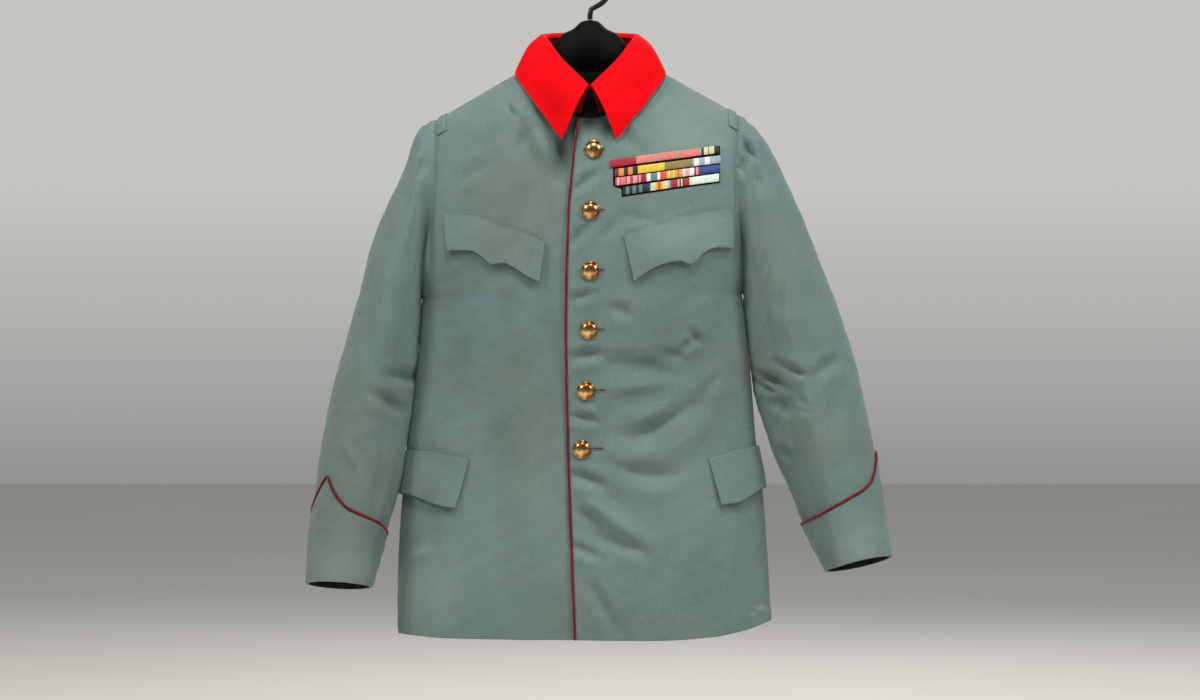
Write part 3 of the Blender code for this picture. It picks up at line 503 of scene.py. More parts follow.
def tunic_cloth(name, patches=()):
    made, tree, shader, place = new_material(name)
    cut = add(tree, "UVMap", uv_map="cut")
    # Threads of both directions, as two noises drawn out along them
    slubs = []
    for scale in ((1 / SLUB_WIDE, 1 / SLUB_LONG, 1.0), (1 / SLUB_LONG, 1 / SLUB_WIDE, 1.0)):
        drawn = add(tree, "Mapping", {"Vector": cut, "Scale": scale})
        slubs.append(add(tree, "TexNoise", {"Vector": drawn, "Scale": 1.0, "Detail": 3.0}))
    both = add(tree, "Math", {0: slubs[0], 1: slubs[1]}, operation="ADD")
    spread = add(tree, "MapRange", {"Value": both, "From Min": 0.72, "From Max": 1.28})
    colour = add(tree, "Mix", {FACTOR: spread, FIRST: CLOTH_DARK, SECOND: CLOTH_LIGHT}, data_type="RGBA")
    for row in DRIFTS:
        drift = add(tree, "TexNoise", {"Vector": place, "Scale": row.scale, "Detail": 3.0})
        span = {"From Min": row.low, "From Max": row.high, "To Max": row.strength}
        share = add(tree, "MapRange", {"Value": drift, **span})
        colour = add(tree, "Mix", {FACTOR: share, FIRST: colour, SECOND: row.colour}, data_type="RGBA")
    # Patches of colour: dust, places a little lighter or darker, and painted shade
    for patch in patches:
        spot = {
            "Location": (patch.x * MM, 0.0, patch.z * MM),
            "Rotation": (0.0, math.radians(patch.tilt), 0.0),
            "Scale": (patch.wide * MM, 1.0, patch.tall * MM),
        }
        moved = add(tree, "Mapping", {"Vector": place, **spot}, vector_type="TEXTURE")
        flat = add(tree, "VectorMath", {0: moved, 1: (1.0, 0.0, 1.0)}, operation="MULTIPLY")
        far = add(tree, "VectorMath", {0: flat}, operation="LENGTH")
        span = {"From Min": 1.0, "From Max": 0.0, "To Max": patch.strength}
        share = add(tree, "MapRange", {"Value": far, **span}, interpolation_type="SMOOTHSTEP")
        colour = add(tree, "Mix", {FACTOR: share, FIRST: colour, SECOND: patch.colour}, data_type="RGBA")
    # Relief: slanting ribs, then a short uneven nap and the slubs, each laid over what is there
    ribs = {"Vector": cut, "Scale": TWILL_SCALE, "Distortion": 1.5, "Detail": 1.0}
    twill = add(tree, "TexWave", ribs, wave_type="BANDS", bands_direction="DIAGONAL")
    nap = add(tree, "TexNoise", {"Vector": place, "Scale": 420.0, "Detail": 2.0})
    relief = add(tree, "Bump", {"Height": twill.outputs["Fac"], "Strength": 0.12, "Distance": 0.0002})
    for height, strength, distance in ((nap, 0.25, 0.0004), (both, 0.2, 0.0003)):
        raised = {"Height": height, "Strength": strength, "Distance": distance, "Normal": relief}
        relief = add(tree, "Bump", raised)
    feed(tree, shader, {"Base Color": colour, "Normal": relief, "Roughness": 0.86})
    feed(tree, shader, {"Sheen Weight": 0.18, "Sheen Roughness": 0.55, "Sheen Tint": "#b6c2bd"})
    feed(tree, shader, {"Specular IOR Level": 0.25})
    return made


front_wool = tunic_cloth("grey_green_wool_front", PATCHES)
sleeve_wool = tunic_cloth("grey_green_wool_sleeves", SLEEVE_PATCHES)
plain_wool = tunic_cloth("grey_green_wool_back")
print("cloth materials:", front_wool.name, sleeve_wool.name, plain_wool.name)

# %% [markdown]
# ## Scarlet collar cloth and dark red piping
#
# The collar is faced with scarlet felted wool: dense, with no weave to be seen, a short nap that
# catches light at grazing angles, and small uneven places where it has been brushed. The band that
# stands inside the leaf is the same wool in deep shade, so it gets a darker red. The piping is the
# same kind of wool in a dark red, drawn tightly over a cord whose twist shows as a faint slanting
# wave. The wave is about 40 mm long here, much longer than a cord's twist of a few millimetres,
# which would be too fine to see.

# %% Collar cloth and piping
CORD_TWIST_SCALE = 16.0


def felted_wool(name, main, shade, glow, nap_size, twist=None, sheen=0.05):
    made, tree, shader, place = new_material(name)
    patches = add(tree, "TexNoise", {"Vector": place, "Scale": 38.0, "Detail": 4.0})
    brushed = add(tree, "MapRange", {"Value": patches, "From Min": 0.35, "From Max": 0.7})
    colour = add(tree, "Mix", {FACTOR: brushed, FIRST: main, SECOND: shade}, data_type="RGBA")
    nap = add(tree, "TexNoise", {"Vector": place, "Scale": nap_size, "Detail": 3.0})
    relief = add(tree, "Bump", {"Height": nap, "Strength": 0.3, "Distance": 0.0004})
    if twist:
        wave = {"Vector": place, "Scale": twist, "Distortion": 1.0}
        winding = add(tree, "TexWave", wave, bands_direction="DIAGONAL").outputs["Fac"]
        raised = {"Height": winding, "Strength": 0.4, "Distance": 0.0003, "Normal": relief}
        relief = add(tree, "Bump", raised)
    feed(tree, shader, {"Base Color": colour, "Normal": relief, "Roughness": 0.8})
    feed(tree, shader, {"Sheen Weight": sheen, "Sheen Roughness": 0.4, "Sheen Tint": glow})
    feed(tree, shader, {"Specular IOR Level": 0.08})
    return made


scarlet_felt = felted_wool("scarlet_felt", "#f00410", "#d8030c", "#ff2a20", 900.0)
band_felt = felted_wool("shaded_scarlet_felt", "#7a0a10", "#5c070c", "#ff2a20", 900.0)
piping_wool = felted_wool(
    "dark_red_piping", "#781a26", "#57101a", "#f4b0b4", 1500.0, twist=CORD_TWIST_SCALE, sheen=0.9
)
print("collar and piping:", scarlet_felt.name, band_felt.name, piping_wool.name)

# %% [markdown]
# ## Gilt buttons
#
# The buttons are stamped brass domes with a thin layer of gold. Polished gilt is a metal, so its
# colour is all in the reflection, and the default IOR stays. Years of handling leave a brown
# tarnish in uneven spots.


# %% Gilt
def gilt_brass(name):
    made, tree, shader, place = new_material(name)
    tarnish = add(tree, "TexNoise", {"Vector": place, "Scale": 95.0, "Detail": 4.0})
    share = add(tree, "MapRange", {"Value": tarnish, "From Min": 0.40, "From Max": 0.62})
    colour = add(tree, "Mix", {FACTOR: share, FIRST: "#f0c482", SECOND: "#8a4a1e"}, data_type="RGBA")
    dull = add(tree, "MapRange", {"Value": tarnish, "To Min": 0.14, "To Max": 0.34})
    dents = add(tree, "TexNoise", {"Vector": place, "Scale": 420.0, "Detail": 2.0})
    relief = add(tree, "Bump", {"Height": dents, "Strength": 0.12, "Distance": 0.0003})
    feed(tree, shader, {"Base Color": colour, "Roughness": dull, "Normal": relief, "Metallic": 1.0})
    return made


gilt = gilt_brass("gilt_brass")
print("buttons:", gilt.name)

# %% [markdown]
# ## Hanger, hook, thread and backing
#
# The hanger is moulded black plastic with a satin face, its hook a steel wire with a black coat.
# The stitches are a dull thread close to the cloth's own grey-green. The ribbon bars are backed
# with black felt, a buttonhole's slit is a dark line of shadow between its two lips, and the
# sleeves' inner faces get a near-black grey that is painted shade, the deep shade inside a sleeve.

# %% Plain finishes, each with its own grain
Finish = namedtuple("Finish", "main shade rough gloss grain relief")
FINISHES = {
    "moulded_black": Finish("#030304", "#010102", 0.7, 0.12, 260.0, 0.15),
    "coated_wire": Finish("#101012", "#08080a", 0.35, 0.4, 500.0, 0.06),
    "tunic_thread": Finish("#76857e", "#5c6a64", 0.7, 0.3, 1600.0, 0.3),
    "black_backing": Finish("#101114", "#060709", 0.9, 0.2, 1400.0, 0.35),
    "slit_shadow": Finish("#2b3230", "#1c2120", 0.95, 0.1, 900.0, 0.2),
    # Painted shade for the sleeves' inner faces, as dark as the deep inside of a sleeve
    "dark_lining": Finish("#1d2120", "#151817", 0.85, 0.2, 700.0, 0.2),
}


def plain_finish(name):
    look = FINISHES[name]
    made, tree, shader, place = new_material(name)
    grain = add(tree, "TexNoise", {"Vector": place, "Scale": look.grain, "Detail": 3.0})
    colour = add(tree, "Mix", {FACTOR: grain, FIRST: look.main, SECOND: look.shade}, data_type="RGBA")
    relief = add(tree, "Bump", {"Height": grain, "Strength": look.relief, "Distance": 0.0003})
    feed(tree, shader, {"Base Color": colour, "Normal": relief})
    feed(tree, shader, {"Roughness": look.rough, "Specular IOR Level": look.gloss})
    return made


finishes = {name: plain_finish(name) for name in FINISHES}
print("plain finishes:", sorted(finishes))

# %% [markdown]
# ## Laying a piece of cloth
#
# Every piece of cloth is made the same way. A flat grid is laid over its form by a function that
# takes how far across and how far up the piece a point is. The grid is then thickened by Solidify
# and its cut edges are rounded by a narrow Bevel. The grid also keeps a map called "cut", in
# metres along and across the piece, which is what the weave reads.


# %% Cloth pieces
def finish_piece(piece, stuff, node=None):
    """Gives a piece its material and its body, and hides the frame's solid that it replaces."""
    if not piece.data.materials:
        piece.data.materials.append(stuff)
    bpy.context.scene.collection.objects.link(piece)
    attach(piece, "root")
    if node:
        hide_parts(node)
    return piece


SAME_PLACE = 1e-6


def cut_map(mesh, points, i, j):
    """Lays the map "cut" over a grid: the distances across and up it, in metres."""
    across = np.linalg.norm(np.diff(points[points.shape[0] // 2], axis=0), axis=-1)
    up = np.linalg.norm(np.diff(points[:, points.shape[1] // 2], axis=0), axis=-1)
    across, up = np.concatenate([[0.0], np.cumsum(across)]), np.concatenate([[0.0], np.cumsum(up)])
    corners = np.empty(len(mesh.loops), np.int32)
    mesh.loops.foreach_get("vertex_index", corners)
    layer = mesh.uv_layers.new(name="cut")
    flat = np.stack([across[i[corners]], up[j[corners]]], -1)
    layer.uv.foreach_set("vector", flat.astype(np.float32).ravel())
    return float(across[-1]), float(up[-1])


def cloth(
    name, columns, rows, place, stuff, wall, grow=-1.0, closed=False, edge=0.6, node="",
    inside_shade=None,
):
    """Piece of cloth on a grid; place gives its points in metres from arrays across and up."""
    work = bmesh.new()
    bmesh.ops.create_grid(work, x_segments=len(columns) - 1, y_segments=len(rows) - 1, size=0.5)
    mesh = bpy.data.meshes.new(name)
    work.to_mesh(mesh)
    work.free()
    flat = np.empty(len(mesh.vertices) * 3, np.float32)
    mesh.vertices.foreach_get("co", flat)
    flat = flat.reshape(-1, 3)
    i = np.rint((flat[:, 0] + 0.5) * (len(columns) - 1)).astype(int)
    j = np.rint((flat[:, 1] + 0.5) * (len(rows) - 1)).astype(int)
    grid = place(*np.meshgrid(np.asarray(columns, float), np.asarray(rows, float)))
    mesh.vertices.foreach_set("co", grid[j, i].astype(np.float32).ravel())
    wide, long = cut_map(mesh, grid, i, j)
    if closed:
        work = bmesh.new()
        work.from_mesh(mesh)
        bmesh.ops.remove_doubles(work, verts=work.verts, dist=SAME_PLACE)
        work.to_mesh(mesh)
        work.free()
    area = sum(face.area for face in mesh.polygons)
    mesh.shade_smooth()
    piece = bpy.data.objects.new(name, mesh)
    thick = piece.modifiers.new("thickness", "SOLIDIFY")
    thick.thickness = wall * MM
    thick.offset = grow
    thick.use_even_offset = False
    # The inner faces take a second material: painted shade inside the sleeves
    if inside_shade:
        for face in (stuff, inside_shade):
            piece.data.materials.append(face)
        thick.material_offset = 1
    if edge:
        soft = piece.modifiers.new("rounded_edges", "BEVEL")
        soft.width = edge * MM
        soft.segments = 2
        soft.limit_method = "ANGLE"
        soft.angle_limit = math.radians(60)
    print(f"{name}: {wide:.3f} x {long:.3f} m, {area:.4f} m2")
    return finish_piece(piece, stuff, node or name)


def even(count, first=0.0, last=1.0):
    return np.linspace(first, last, count + 1)


# %% [markdown]
# ## Fronts and back
#
# Each front runs from its front edge to the side seam and the armhole, and from the hem to the
# neck and shoulder seam. The left front laps over the right one, which steps back to make room.
# Along every seam the cloth rolls in a little, because two edges are turned under and pressed
# there, and that soft dip is what shows a seam from a few steps away.


# %% Outlines of the panels
SEAM_ROLL = 0.9
SEAM_ROLL_WIDE = 4.0
# How much narrower the dips at the side and the neck are, and how deep the one at the neck
SIDE_NARROWER = 1.6
NECK_NARROWER = 1.2
NECK_ROLL = 0.5
# The dip at the side seam fades in just above the hem
ROLL_FROM = 0.02
ROLL_FADE = 30.0
# At the centre back, the rows of the panel change this far above the chest line and below the neck
BACK_ABOVE_CHEST = 40.0
BACK_BELOW_NECK = 45.0
# Width over which the right front takes the left one's creases, and where the shoulders begin
UNDER_FADE = 12.0
BACK_RISE_FROM = 1.4


def neck_point(share, x_from):
    angle = mix(math.asin(x_from / NECK_X), math.pi / 2, share)
    return NECK_X * np.sin(angle), mix(NECK_SIDE_DOWN, NECK_FRONT_DOWN, np.cos(angle))


def hem_down(x):
    return between(HEM, x, "down")


def stage(height, low, mid, top, corner):
    """Height on a panel's edge: from low to mid, from mid to top, then to the corner."""
    first, second = mix(low, mid, height), mix(mid, top, height - 1.0)
    return np.where(height <= 1.0, first, np.where(height <= 2.0, second, mix(top, corner, height - 2.0)))


def inner_edge(side, height):
    """Front edge of a front, then its neckline, as x and down; x is positive towards its side."""
    over = side == "left"
    top_x = float(FREE_EDGE[0].x) if over else -LAP
    low = hem_down(FREE_EDGE[-1].x if over else LAP)
    down = stage(np.minimum(height, 2.0), low, CHEST_EDGE_DOWN, neck_point(0.0, top_x)[1], 0.0)
    x = between(FREE_EDGE, down, "x") if over else np.full(np.shape(height), top_x)
    neck_x, neck_down = neck_point(np.maximum(height - 2.0, 0.0), top_x)
    return np.where(height > 2.0, neck_x, x), np.where(height > 2.0, neck_down, down)


def outer_edge(side, height):
    """Side seam of a panel, then its armhole, as x and down."""
    end = SHOULDER_END[side]
    sign = SIGN[side]
    hem_x = between(SIDES, HEM[-1].down, side)
    down = stage(height, hem_down(sign * hem_x), end.down + ARMHOLE_DEEP, CHEST_SIDE_DOWN, end.down)
    return panel_edge(side, down), down


def follow_hem(x, down, height, straight):
    """Bends the rows near the hem from a straight line to the hem's own dip."""
    return down + (hem_down(x) - straight) * np.clip(1.0 - height, 0.0, 1.0) ** 2


def lap_step(x):
    return LAP_STEP * ease((x + LAP_STEP_FROM) / (LAP_STEP_FROM - LAP_STEP_TO))


def seam_roll(distance):
    """How far the cloth dips at a distance from a seam."""
    return -SEAM_ROLL * np.exp(-((distance / SEAM_ROLL_WIDE) ** 2))


def front_place(side):
    """Points of a front: across from its inner to its outer edge, up from the hem."""
    sign = SIGN[side]

    def place(share, height):
        (inner_x, inner_down), (outer_x, outer_down) = inner_edge(side, height), outer_edge(side, height)
        x, down = mix(inner_x, outer_x, share), mix(inner_down, outer_down, share)
        low = np.zeros(np.shape(height))
        straight = mix(inner_edge(side, low)[1], outer_edge(side, low)[1], share)
        down = follow_hem(sign * x, down, height, straight)
        turn = turn_at(sign * x, down)
        lift = panel_creases("front_" + side, turn, down)
        if side == "right":
            under = ease((sign * x - between(FREE_EDGE, down, "x")) / UNDER_FADE + 1.0)
            lift = mix(lift, panel_creases("front_left", turn, down), under)
        lift = lift + seam_roll((outer_x - x) * SIDE_NARROWER) * ease((height - ROLL_FROM) * ROLL_FADE)
        lift = lift + seam_roll((down - inner_down) * NECK_NARROWER) * (height > 2.0) * NECK_ROLL
        point = form(turn, down) + outward(turn, down) * lift[..., None]
        if side == "right":
            point[..., 1] += lap_step(sign * x)
        point[..., 1] = np.minimum(point[..., 1], 0.0)
        return point * MM

    return place


def back_top(end_x, end_down, share):
    """Top edge of the back, from the centre of its neckline to the shoulder's end, as x and down."""
    neck_x = NECK_X * np.clip(share / NECK_SHARE, 0.0, 1.0)
    round_neck = np.sqrt(np.maximum(0.0, 1.0 - (neck_x / NECK_X) ** 2))
    neck_down = mix(NECK_SIDE_DOWN, NECK_BACK_DOWN, round_neck)
    along = np.clip((share - NECK_SHARE) / (1.0 - NECK_SHARE), 0.0, 1.0)
    in_neck = share <= NECK_SHARE
    x = np.where(in_neck, neck_x, mix(NECK_X, end_x, along))
    return x, np.where(in_neck, neck_down, mix(NECK_SIDE_DOWN, end_down, along))


def back_place(signed_share, height):
    """Points of the back: across from the left side to the right, up from the hem."""
    left = signed_share <= 0
    share = np.abs(signed_share)
    sign = np.where(left, 1.0, -1.0)

    def either(both):
        """Values of the left side on its half and of the right one on the other."""
        return (np.where(left, *pair) for pair in zip(both("left"), both("right")))

    outer_x, outer_down = either(lambda side: outer_edge(side, height))
    end_x, end_down = either(SHOULDER_END.get)
    chest, shoulders = CHEST_EDGE_DOWN - BACK_ABOVE_CHEST, NECK_BACK_DOWN + BACK_BELOW_NECK
    centre = stage(height, hem_down(0), chest, shoulders, NECK_BACK_DOWN)
    x, down = share * outer_x, mix(centre, outer_down, share)
    top_x, top_down = back_top(end_x, end_down, share)
    rise = ease((height - BACK_RISE_FROM) / (3.0 - BACK_RISE_FROM))
    x = x + (top_x - share * end_x) * rise
    down = down + (top_down - mix(NECK_BACK_DOWN, end_down, share)) * rise
    _, hem_end = either(lambda side: outer_edge(side, np.zeros(np.shape(height))))
    straight = mix(hem_down(0), hem_end, share)
    down = follow_hem(sign * x, down, height, straight)
    turn = turn_at(sign * x, down, back=True)
    lift = panel_creases("back", turn, down) + seam_roll((outer_x - x) * SIDE_NARROWER)
    point = form(turn, down) + outward(turn, down) * lift[..., None]
    point[..., 1] = np.maximum(point[..., 1], 0.0)
    return point * MM


# %% Fronts and back, laid
EVEN_COLUMNS = 0.3
LAST_COLUMN = 0.9993
LAST_ROW = 2.995


def across_spacing(count):
    """Columns of a panel, closer together where the cloth turns round the side."""
    shares = mix(np.sin(even(count) * math.pi / 2), even(count), EVEN_COLUMNS)
    return np.concatenate([shares[:-1], [LAST_COLUMN, 1.0]])


def up_spacing(low, middle, high):
    """Rows of a panel, closer together towards the shoulder seam."""
    last = 3.0 - (1.0 - even(high)[1:-1]) ** 2
    return np.concatenate([even(low), 1.0 + even(middle)[1:], last, [LAST_ROW, 3.0]])


ROWS = up_spacing(160, 62, 34)
spread = across_spacing(96)
half = across_spacing(74)
half[np.argmin(np.abs(half - NECK_SHARE))] = NECK_SHARE
for side, columns in (("left", spread), ("right", spread[::-1])):
    cloth(f"tunic_front_{side}", columns, ROWS, front_place(side), front_wool, WALL, node=f"front_{side}")
both_halves = np.concatenate([-half[::-1], half[1:]])
cloth("tunic_back", both_halves, ROWS, back_place, plain_wool, WALL, node="back")

# %% [markdown]
# ## Sleeves
#
# A two-piece sleeve hangs in front of and beside the body and bends gently at the elbow. Its form
# is a row of ellipses, each between a point on the edge away from the body and one on the edge
# towards it. The first ring is the armhole seam itself. A place on a sleeve is an angle round it
# and a station along it: 0 is the armhole, 13 the end of the cuff.

# %% Measures of the sleeves
Section = namedtuple("Section", "out_x out_down in_x in_down deep forward raised")
SLEEVES = {
    "right": table(
        Section,
        (226, 210, 225, 440, 54, 0, 0), (244, 260, 227.5, 449, 60, 0, 0),
        (268, 312, 229, 463, 65, 0, 0), (290, 368, 231, 481, 68, 1, 0), (305, 428, 233, 505, 68, 2, 0),
        (319, 476, 236, 538, 66, 3, 1), (333, 527, 240, 572, 63, 5, 2), (346, 583, 246, 610, 60, 8, 3),
        (355, 640, 251.5, 655, 57, 12, 4), (362, 698, 261, 703, 54, 16, 5),
        (367, 740, 270, 742, 51, 20, 6), (370, 777, 279, 779, 49, 23, 7),
        (371, 807, 288, 811, 47, 26, 8),
    ),
    "left": table(
        Section,
        (219, 208, 205, 433, 54, 0, 0), (244, 247, 208.5, 443, 58, 0, 0),
        (268, 298, 211, 458, 60, 0, 0), (292, 355, 213.5, 478, 61, 1, 0),
        (313, 408, 216.5, 503, 60, 2, 0), (331, 455, 220, 530, 58, 3, 1),
        (346, 502, 224, 560, 56, 5, 2), (358, 552, 232, 594, 54, 8, 3), (368, 602, 244, 636, 52, 12, 4),
        (377, 655, 262, 680, 50, 16, 5), (385, 705, 277, 720, 48, 20, 6),
        (391, 744, 293, 757, 46, 23, 7), (395, 772, 311, 790, 45, 26, 8),
    ),
}
UNDER_SLEEVE_ARC = 110.0
SLEEVE_RADIUS = 58.0
STATION_STEP = 48.0
SEAM_RADIUS = 50.0
SleeveFold = namedtuple("SleeveFold", "round station angle length width depth")
SLEEVE_FOLDS = {
    "right": table(
        SleeveFold,
        (60, 6.0, 20, 95, 16, -5), (40, 7.2, -15, 80, 15, -4), (-130, 6.6, 0, 100, 16, -5),
    ),
    "left": table(
        SleeveFold,
        (-50, 6.6, -28, 110, 15, -7), (-30, 7.6, -20, 80, 15, -4), (150, 6.8, 8, 100, 16, -6),
    ),
}
SleeveCrease = namedtuple("SleeveCrease", "round station angle length width depth bow")
SLEEVE_CREASES = {
    "left": table(
        SleeveCrease,
        # Puckers of the gathered sleeve head
        (43, 0.65, 87, 56, 4.4, -11.0, 0), (33, 0.5, 94, 40, 3.8, -6.5, 0),
        (26, 0.27, 90, 38, 4, -9.0, 0), (29, 1.3, 82, 46, 7, -5.0, 0), (21, 0.6, 126, 40, 7, 3.6, 0),
        # Breaks at the elbow
        (-50, 6.62, -55, 106, 4.2, -7.5, 2), (-24, 6.45, -58, 96, 4.5, -4.6, 0),
        (-10, 6.86, -61, 34, 3.4, -3.8, 0), (-57, 6.9, -43, 58, 4, -5.0, 0),
        (-40, 7.75, -53, 50, 7, -4.4, 2), (-12, 7.88, -64, 34, 3.4, -3.6, 0),
        (-14, 8.12, -38, 34, 3.4, -2.8, 0), (21, 7.12, 12, 56, 8, -4.0, 2),
        (-9, 4.35, 84, 40, 7, -3.4, 2), (-58, 9.1, -48, 36, 6, -4.1, 2), (20, 8.4, 70, 90, 12, -3.0, 4),
        (140, 6.2, 14, 90, 7, -5.4, 5), (165, 7.6, -12, 80, 7, -4.7, 4), (120, 0.9, 80, 46, 6, -4.1, 2),
        (150, 1.4, 74, 46, 6, -3.7, 2),
    ),
    "right": table(
        SleeveCrease,
        (-30, 0.7, 100, 46, 6, -3.7, 2), (-52, 1.1, 96, 50, 7, -3.7, 2), (10, 1.6, 92, 80, 9, -3.7, 2),
        (54, 6.2, 24, 100, 8, -4.7, 4), (30, 7.3, -14, 76, 8, -3.7, 4), (10, 9.0, 82, 100, 12, -3.0, 4),
        (-12, 8.9, -55, 46, 6, 3.7, 2), (-20, 5.0, 86, 120, 14, -3.4, 5),
        (-140, 6.2, -14, 90, 7, -5.4, 5), (-165, 7.6, 12, 80, 7, -4.7, 4),
        (-120, 0.9, 100, 46, 6, -4.1, 2), (-150, 1.4, 106, 46, 6, -3.7, 2),
    ),
}
# The line where each sleeve was pressed flat: its angle and height along the sleeve
Press = namedtuple("Press", "station round height")
PRESSES = {
    "left": table(
        Press,
        (2.5, -6, 0), (4.5, -9, 4.0), (7.0, -9, 7.5), (9.5, -8, 9.5), (11.0, -18, 10.0),
        (13.0, -31, 9.0),
    ),
    "right": table(
        Press,
        (4.0, 62, 0), (7.0, 58, 4.5), (9.4, 50, 7.0), (11.0, 44, 8.0), (13.0, 48, 8.0),
    ),
}
# How far each sleeve's side towards the body leans to it
PUSHES = {
    "left": table(
        Press,
        (0.5, 0, 0), (1.0, 0, 3.6), (2.0, 0, 5.8), (3.0, 0, 6.9), (5.0, 0, 8.2), (6.4, 0, 8.4),
        (7.2, 0, 6.4), (9.0, 0, 2), (10.0, 0, 0),
    ),
    "right": table(
        Press,
        (0.5, 0, 0), (1.0, 0, 3.8), (2.0, 0, 5.6), (3.0, 0, 6.4), (5.0, 0, 6.8), (8.0, 0, 6.2),
        (9.5, 0, 4.5), (11.0, 0, 0),
    ),
}
PUSH_WIDE = 34.0
INNER_ROUND = {"left": -90.0, "right": 90.0}
PRESS_WIDE = 22.0
PRESS_TIP = 1.6
# Creases fade in over this much of the first station, from the armhole seam on
FINE_FROM = 0.4
print("sleeve, along its outer edge:", len(SLEEVES["left"]), "sections a side")


# %% The sleeve as a function
# How far the sleeve's edge is tucked under the body's at the armhole, and how soon it comes out
TUCK = 0.9
TUCK_FADE = 9.0


def armhole_ring(side, round_it):
    sign = SIGN[side]
    radians = np.radians(round_it)
    down = SHOULDER_END[side].down + ARMHOLE_DEEP / 2 * (1.0 - sign * np.sin(radians))
    x = panel_edge(side, down)
    point = form(turn_at(sign * x, down, back=np.cos(radians) < 0.0), down)
    point[..., 0] = sign * (x - TUCK)
    return point


def section_ring(side, section, round_it):
    sign = SIGN[side]
    radians = np.radians(round_it)
    share = 0.5 + 0.5 * sign * np.sin(radians)
    down = mix(section.in_down, section.out_down, share)
    return np.stack(
        [
            sign * mix(section.in_x, section.out_x, share),
            -section.forward - section.deep * np.cos(radians),
            -down + section.raised * np.cos(radians),
        ],
        axis=-1,
    )


def sleeve_form(side, round_it, station):
    """Points of a sleeve's outer face, on a smooth curve through its rings."""
    round_it, station = np.broadcast_arrays(np.asarray(round_it, float), np.asarray(station, float))
    rings = np.stack(
        [armhole_ring(side, round_it)] + [section_ring(side, row, round_it) for row in SLEEVES[side]]
    )
    return smooth_through(rings, np.clip(station, 0.0, len(rings) - 1.0), 1.0)


def sleeve_outward(side, round_it, station):
    span, turn = 0.15, 2.0
    low, high = np.maximum(station - span, 0.0), np.minimum(station + span, float(len(SLEEVES[side])))
    across = sleeve_form(side, round_it + turn, station) - sleeve_form(side, round_it - turn, station)
    up = sleeve_form(side, round_it, low) - sleeve_form(side, round_it, high)
    return unit(np.cross(across, up))


def sleeve_height(side, round_it, station):
    """Height of a sleeve's folds and creases."""

    def right_of(row):
        return np.radians(apart(round_it, row.round)) * SLEEVE_RADIUS

    def above(row):
        return (row.station - station) * STATION_STEP

    height = fold_height(SLEEVE_FOLDS[side], right_of, above)
    line = between(PRESSES[side], station, "round")
    away = np.radians(apart(round_it, line)) * SLEEVE_RADIUS
    sharp = np.exp(-(np.sqrt(away * away + PRESS_TIP**2) - PRESS_TIP) / PRESS_WIDE)
    height = height + between(PRESSES[side], station, "height") * sharp
    inner = np.radians(apart(round_it, INNER_ROUND[side])) * SLEEVE_RADIUS
    height = height + between(PUSHES[side], station, "height") * np.exp(-((inner / PUSH_WIDE) ** 2))
    fine = crease_height(SLEEVE_CREASES[side], right_of, above)
    turned = np.radians(round_it)
    across, forward = SLEEVE_RADIUS * np.sin(turned), SLEEVE_RADIUS * np.cos(turned)
    fine = fine + waver(across, station * STATION_STEP + forward)
    return height + fine * ease(station / FINE_FROM)


# Room that a sleeve keeps from the body, and from the body where the hip flap lies on it
BODY_CLEAR = 0.4
FLAP_ROOM = 6.8
FLAP_FROM = 620.0
FLAP_TO = 702.0
CLEAR_FADE = 8.0


def clear_of_body(side, point):
    """Keeps a sleeve just clear of the body's side and of the hip flap there, below the armhole."""
    sign = SIGN[side]
    x, y, down = sign * point[..., 0], point[..., 1], -point[..., 2]
    deep = np.where(y < 0.0, between(DEPTHS, down, "front"), between(DEPTHS, down, "back"))
    share = np.maximum(0.0, 1.0 - (y / deep) ** 2) ** (1.0 / FULLNESS)
    flap = FLAP_ROOM * (ease((down - FLAP_FROM) / CLEAR_FADE) - ease((down - FLAP_TO) / CLEAR_FADE))
    wall = half_width(side, down) * share + BODY_CLEAR + flap
    below = ease((down - SHOULDER_END[side].down - ARMHOLE_DEEP) / CLEAR_FADE)
    point[..., 0] = sign * np.maximum(x, mix(x, wall, below))
    return point


def on_sleeve(side, round_it, station, lift):
    """Points at a height above a sleeve, in metres."""
    lifted = np.asarray(lift + sleeve_height(side, round_it, station))[..., None]
    point = sleeve_form(side, round_it, station) + sleeve_outward(side, round_it, station) * lifted
    return clear_of_body(side, point) * MM


# %% [markdown]
# A set-in sleeve is gathered a little into the armhole, so its head stands up in a soft roll just
# past the seam. The two long seams dip as the body's seams do.

# %% Sleeves, laid
HEAD_ROLL = 2.2
HEAD_ROLL_AT = 0.28
HEAD_ROLL_WIDE = 0.22
FURROW = 5.0
FURROW_WIDE = 0.4
COLUMNS = {"under": 40, "top": 88}
EDGE_COLUMN = 0.6


def seam_rounds(side):
    """Angles of the two edges of the under sleeve."""
    return INNER_ROUND[side] - UNDER_SLEEVE_ARC / 2, INNER_ROUND[side] + UNDER_SLEEVE_ARC / 2


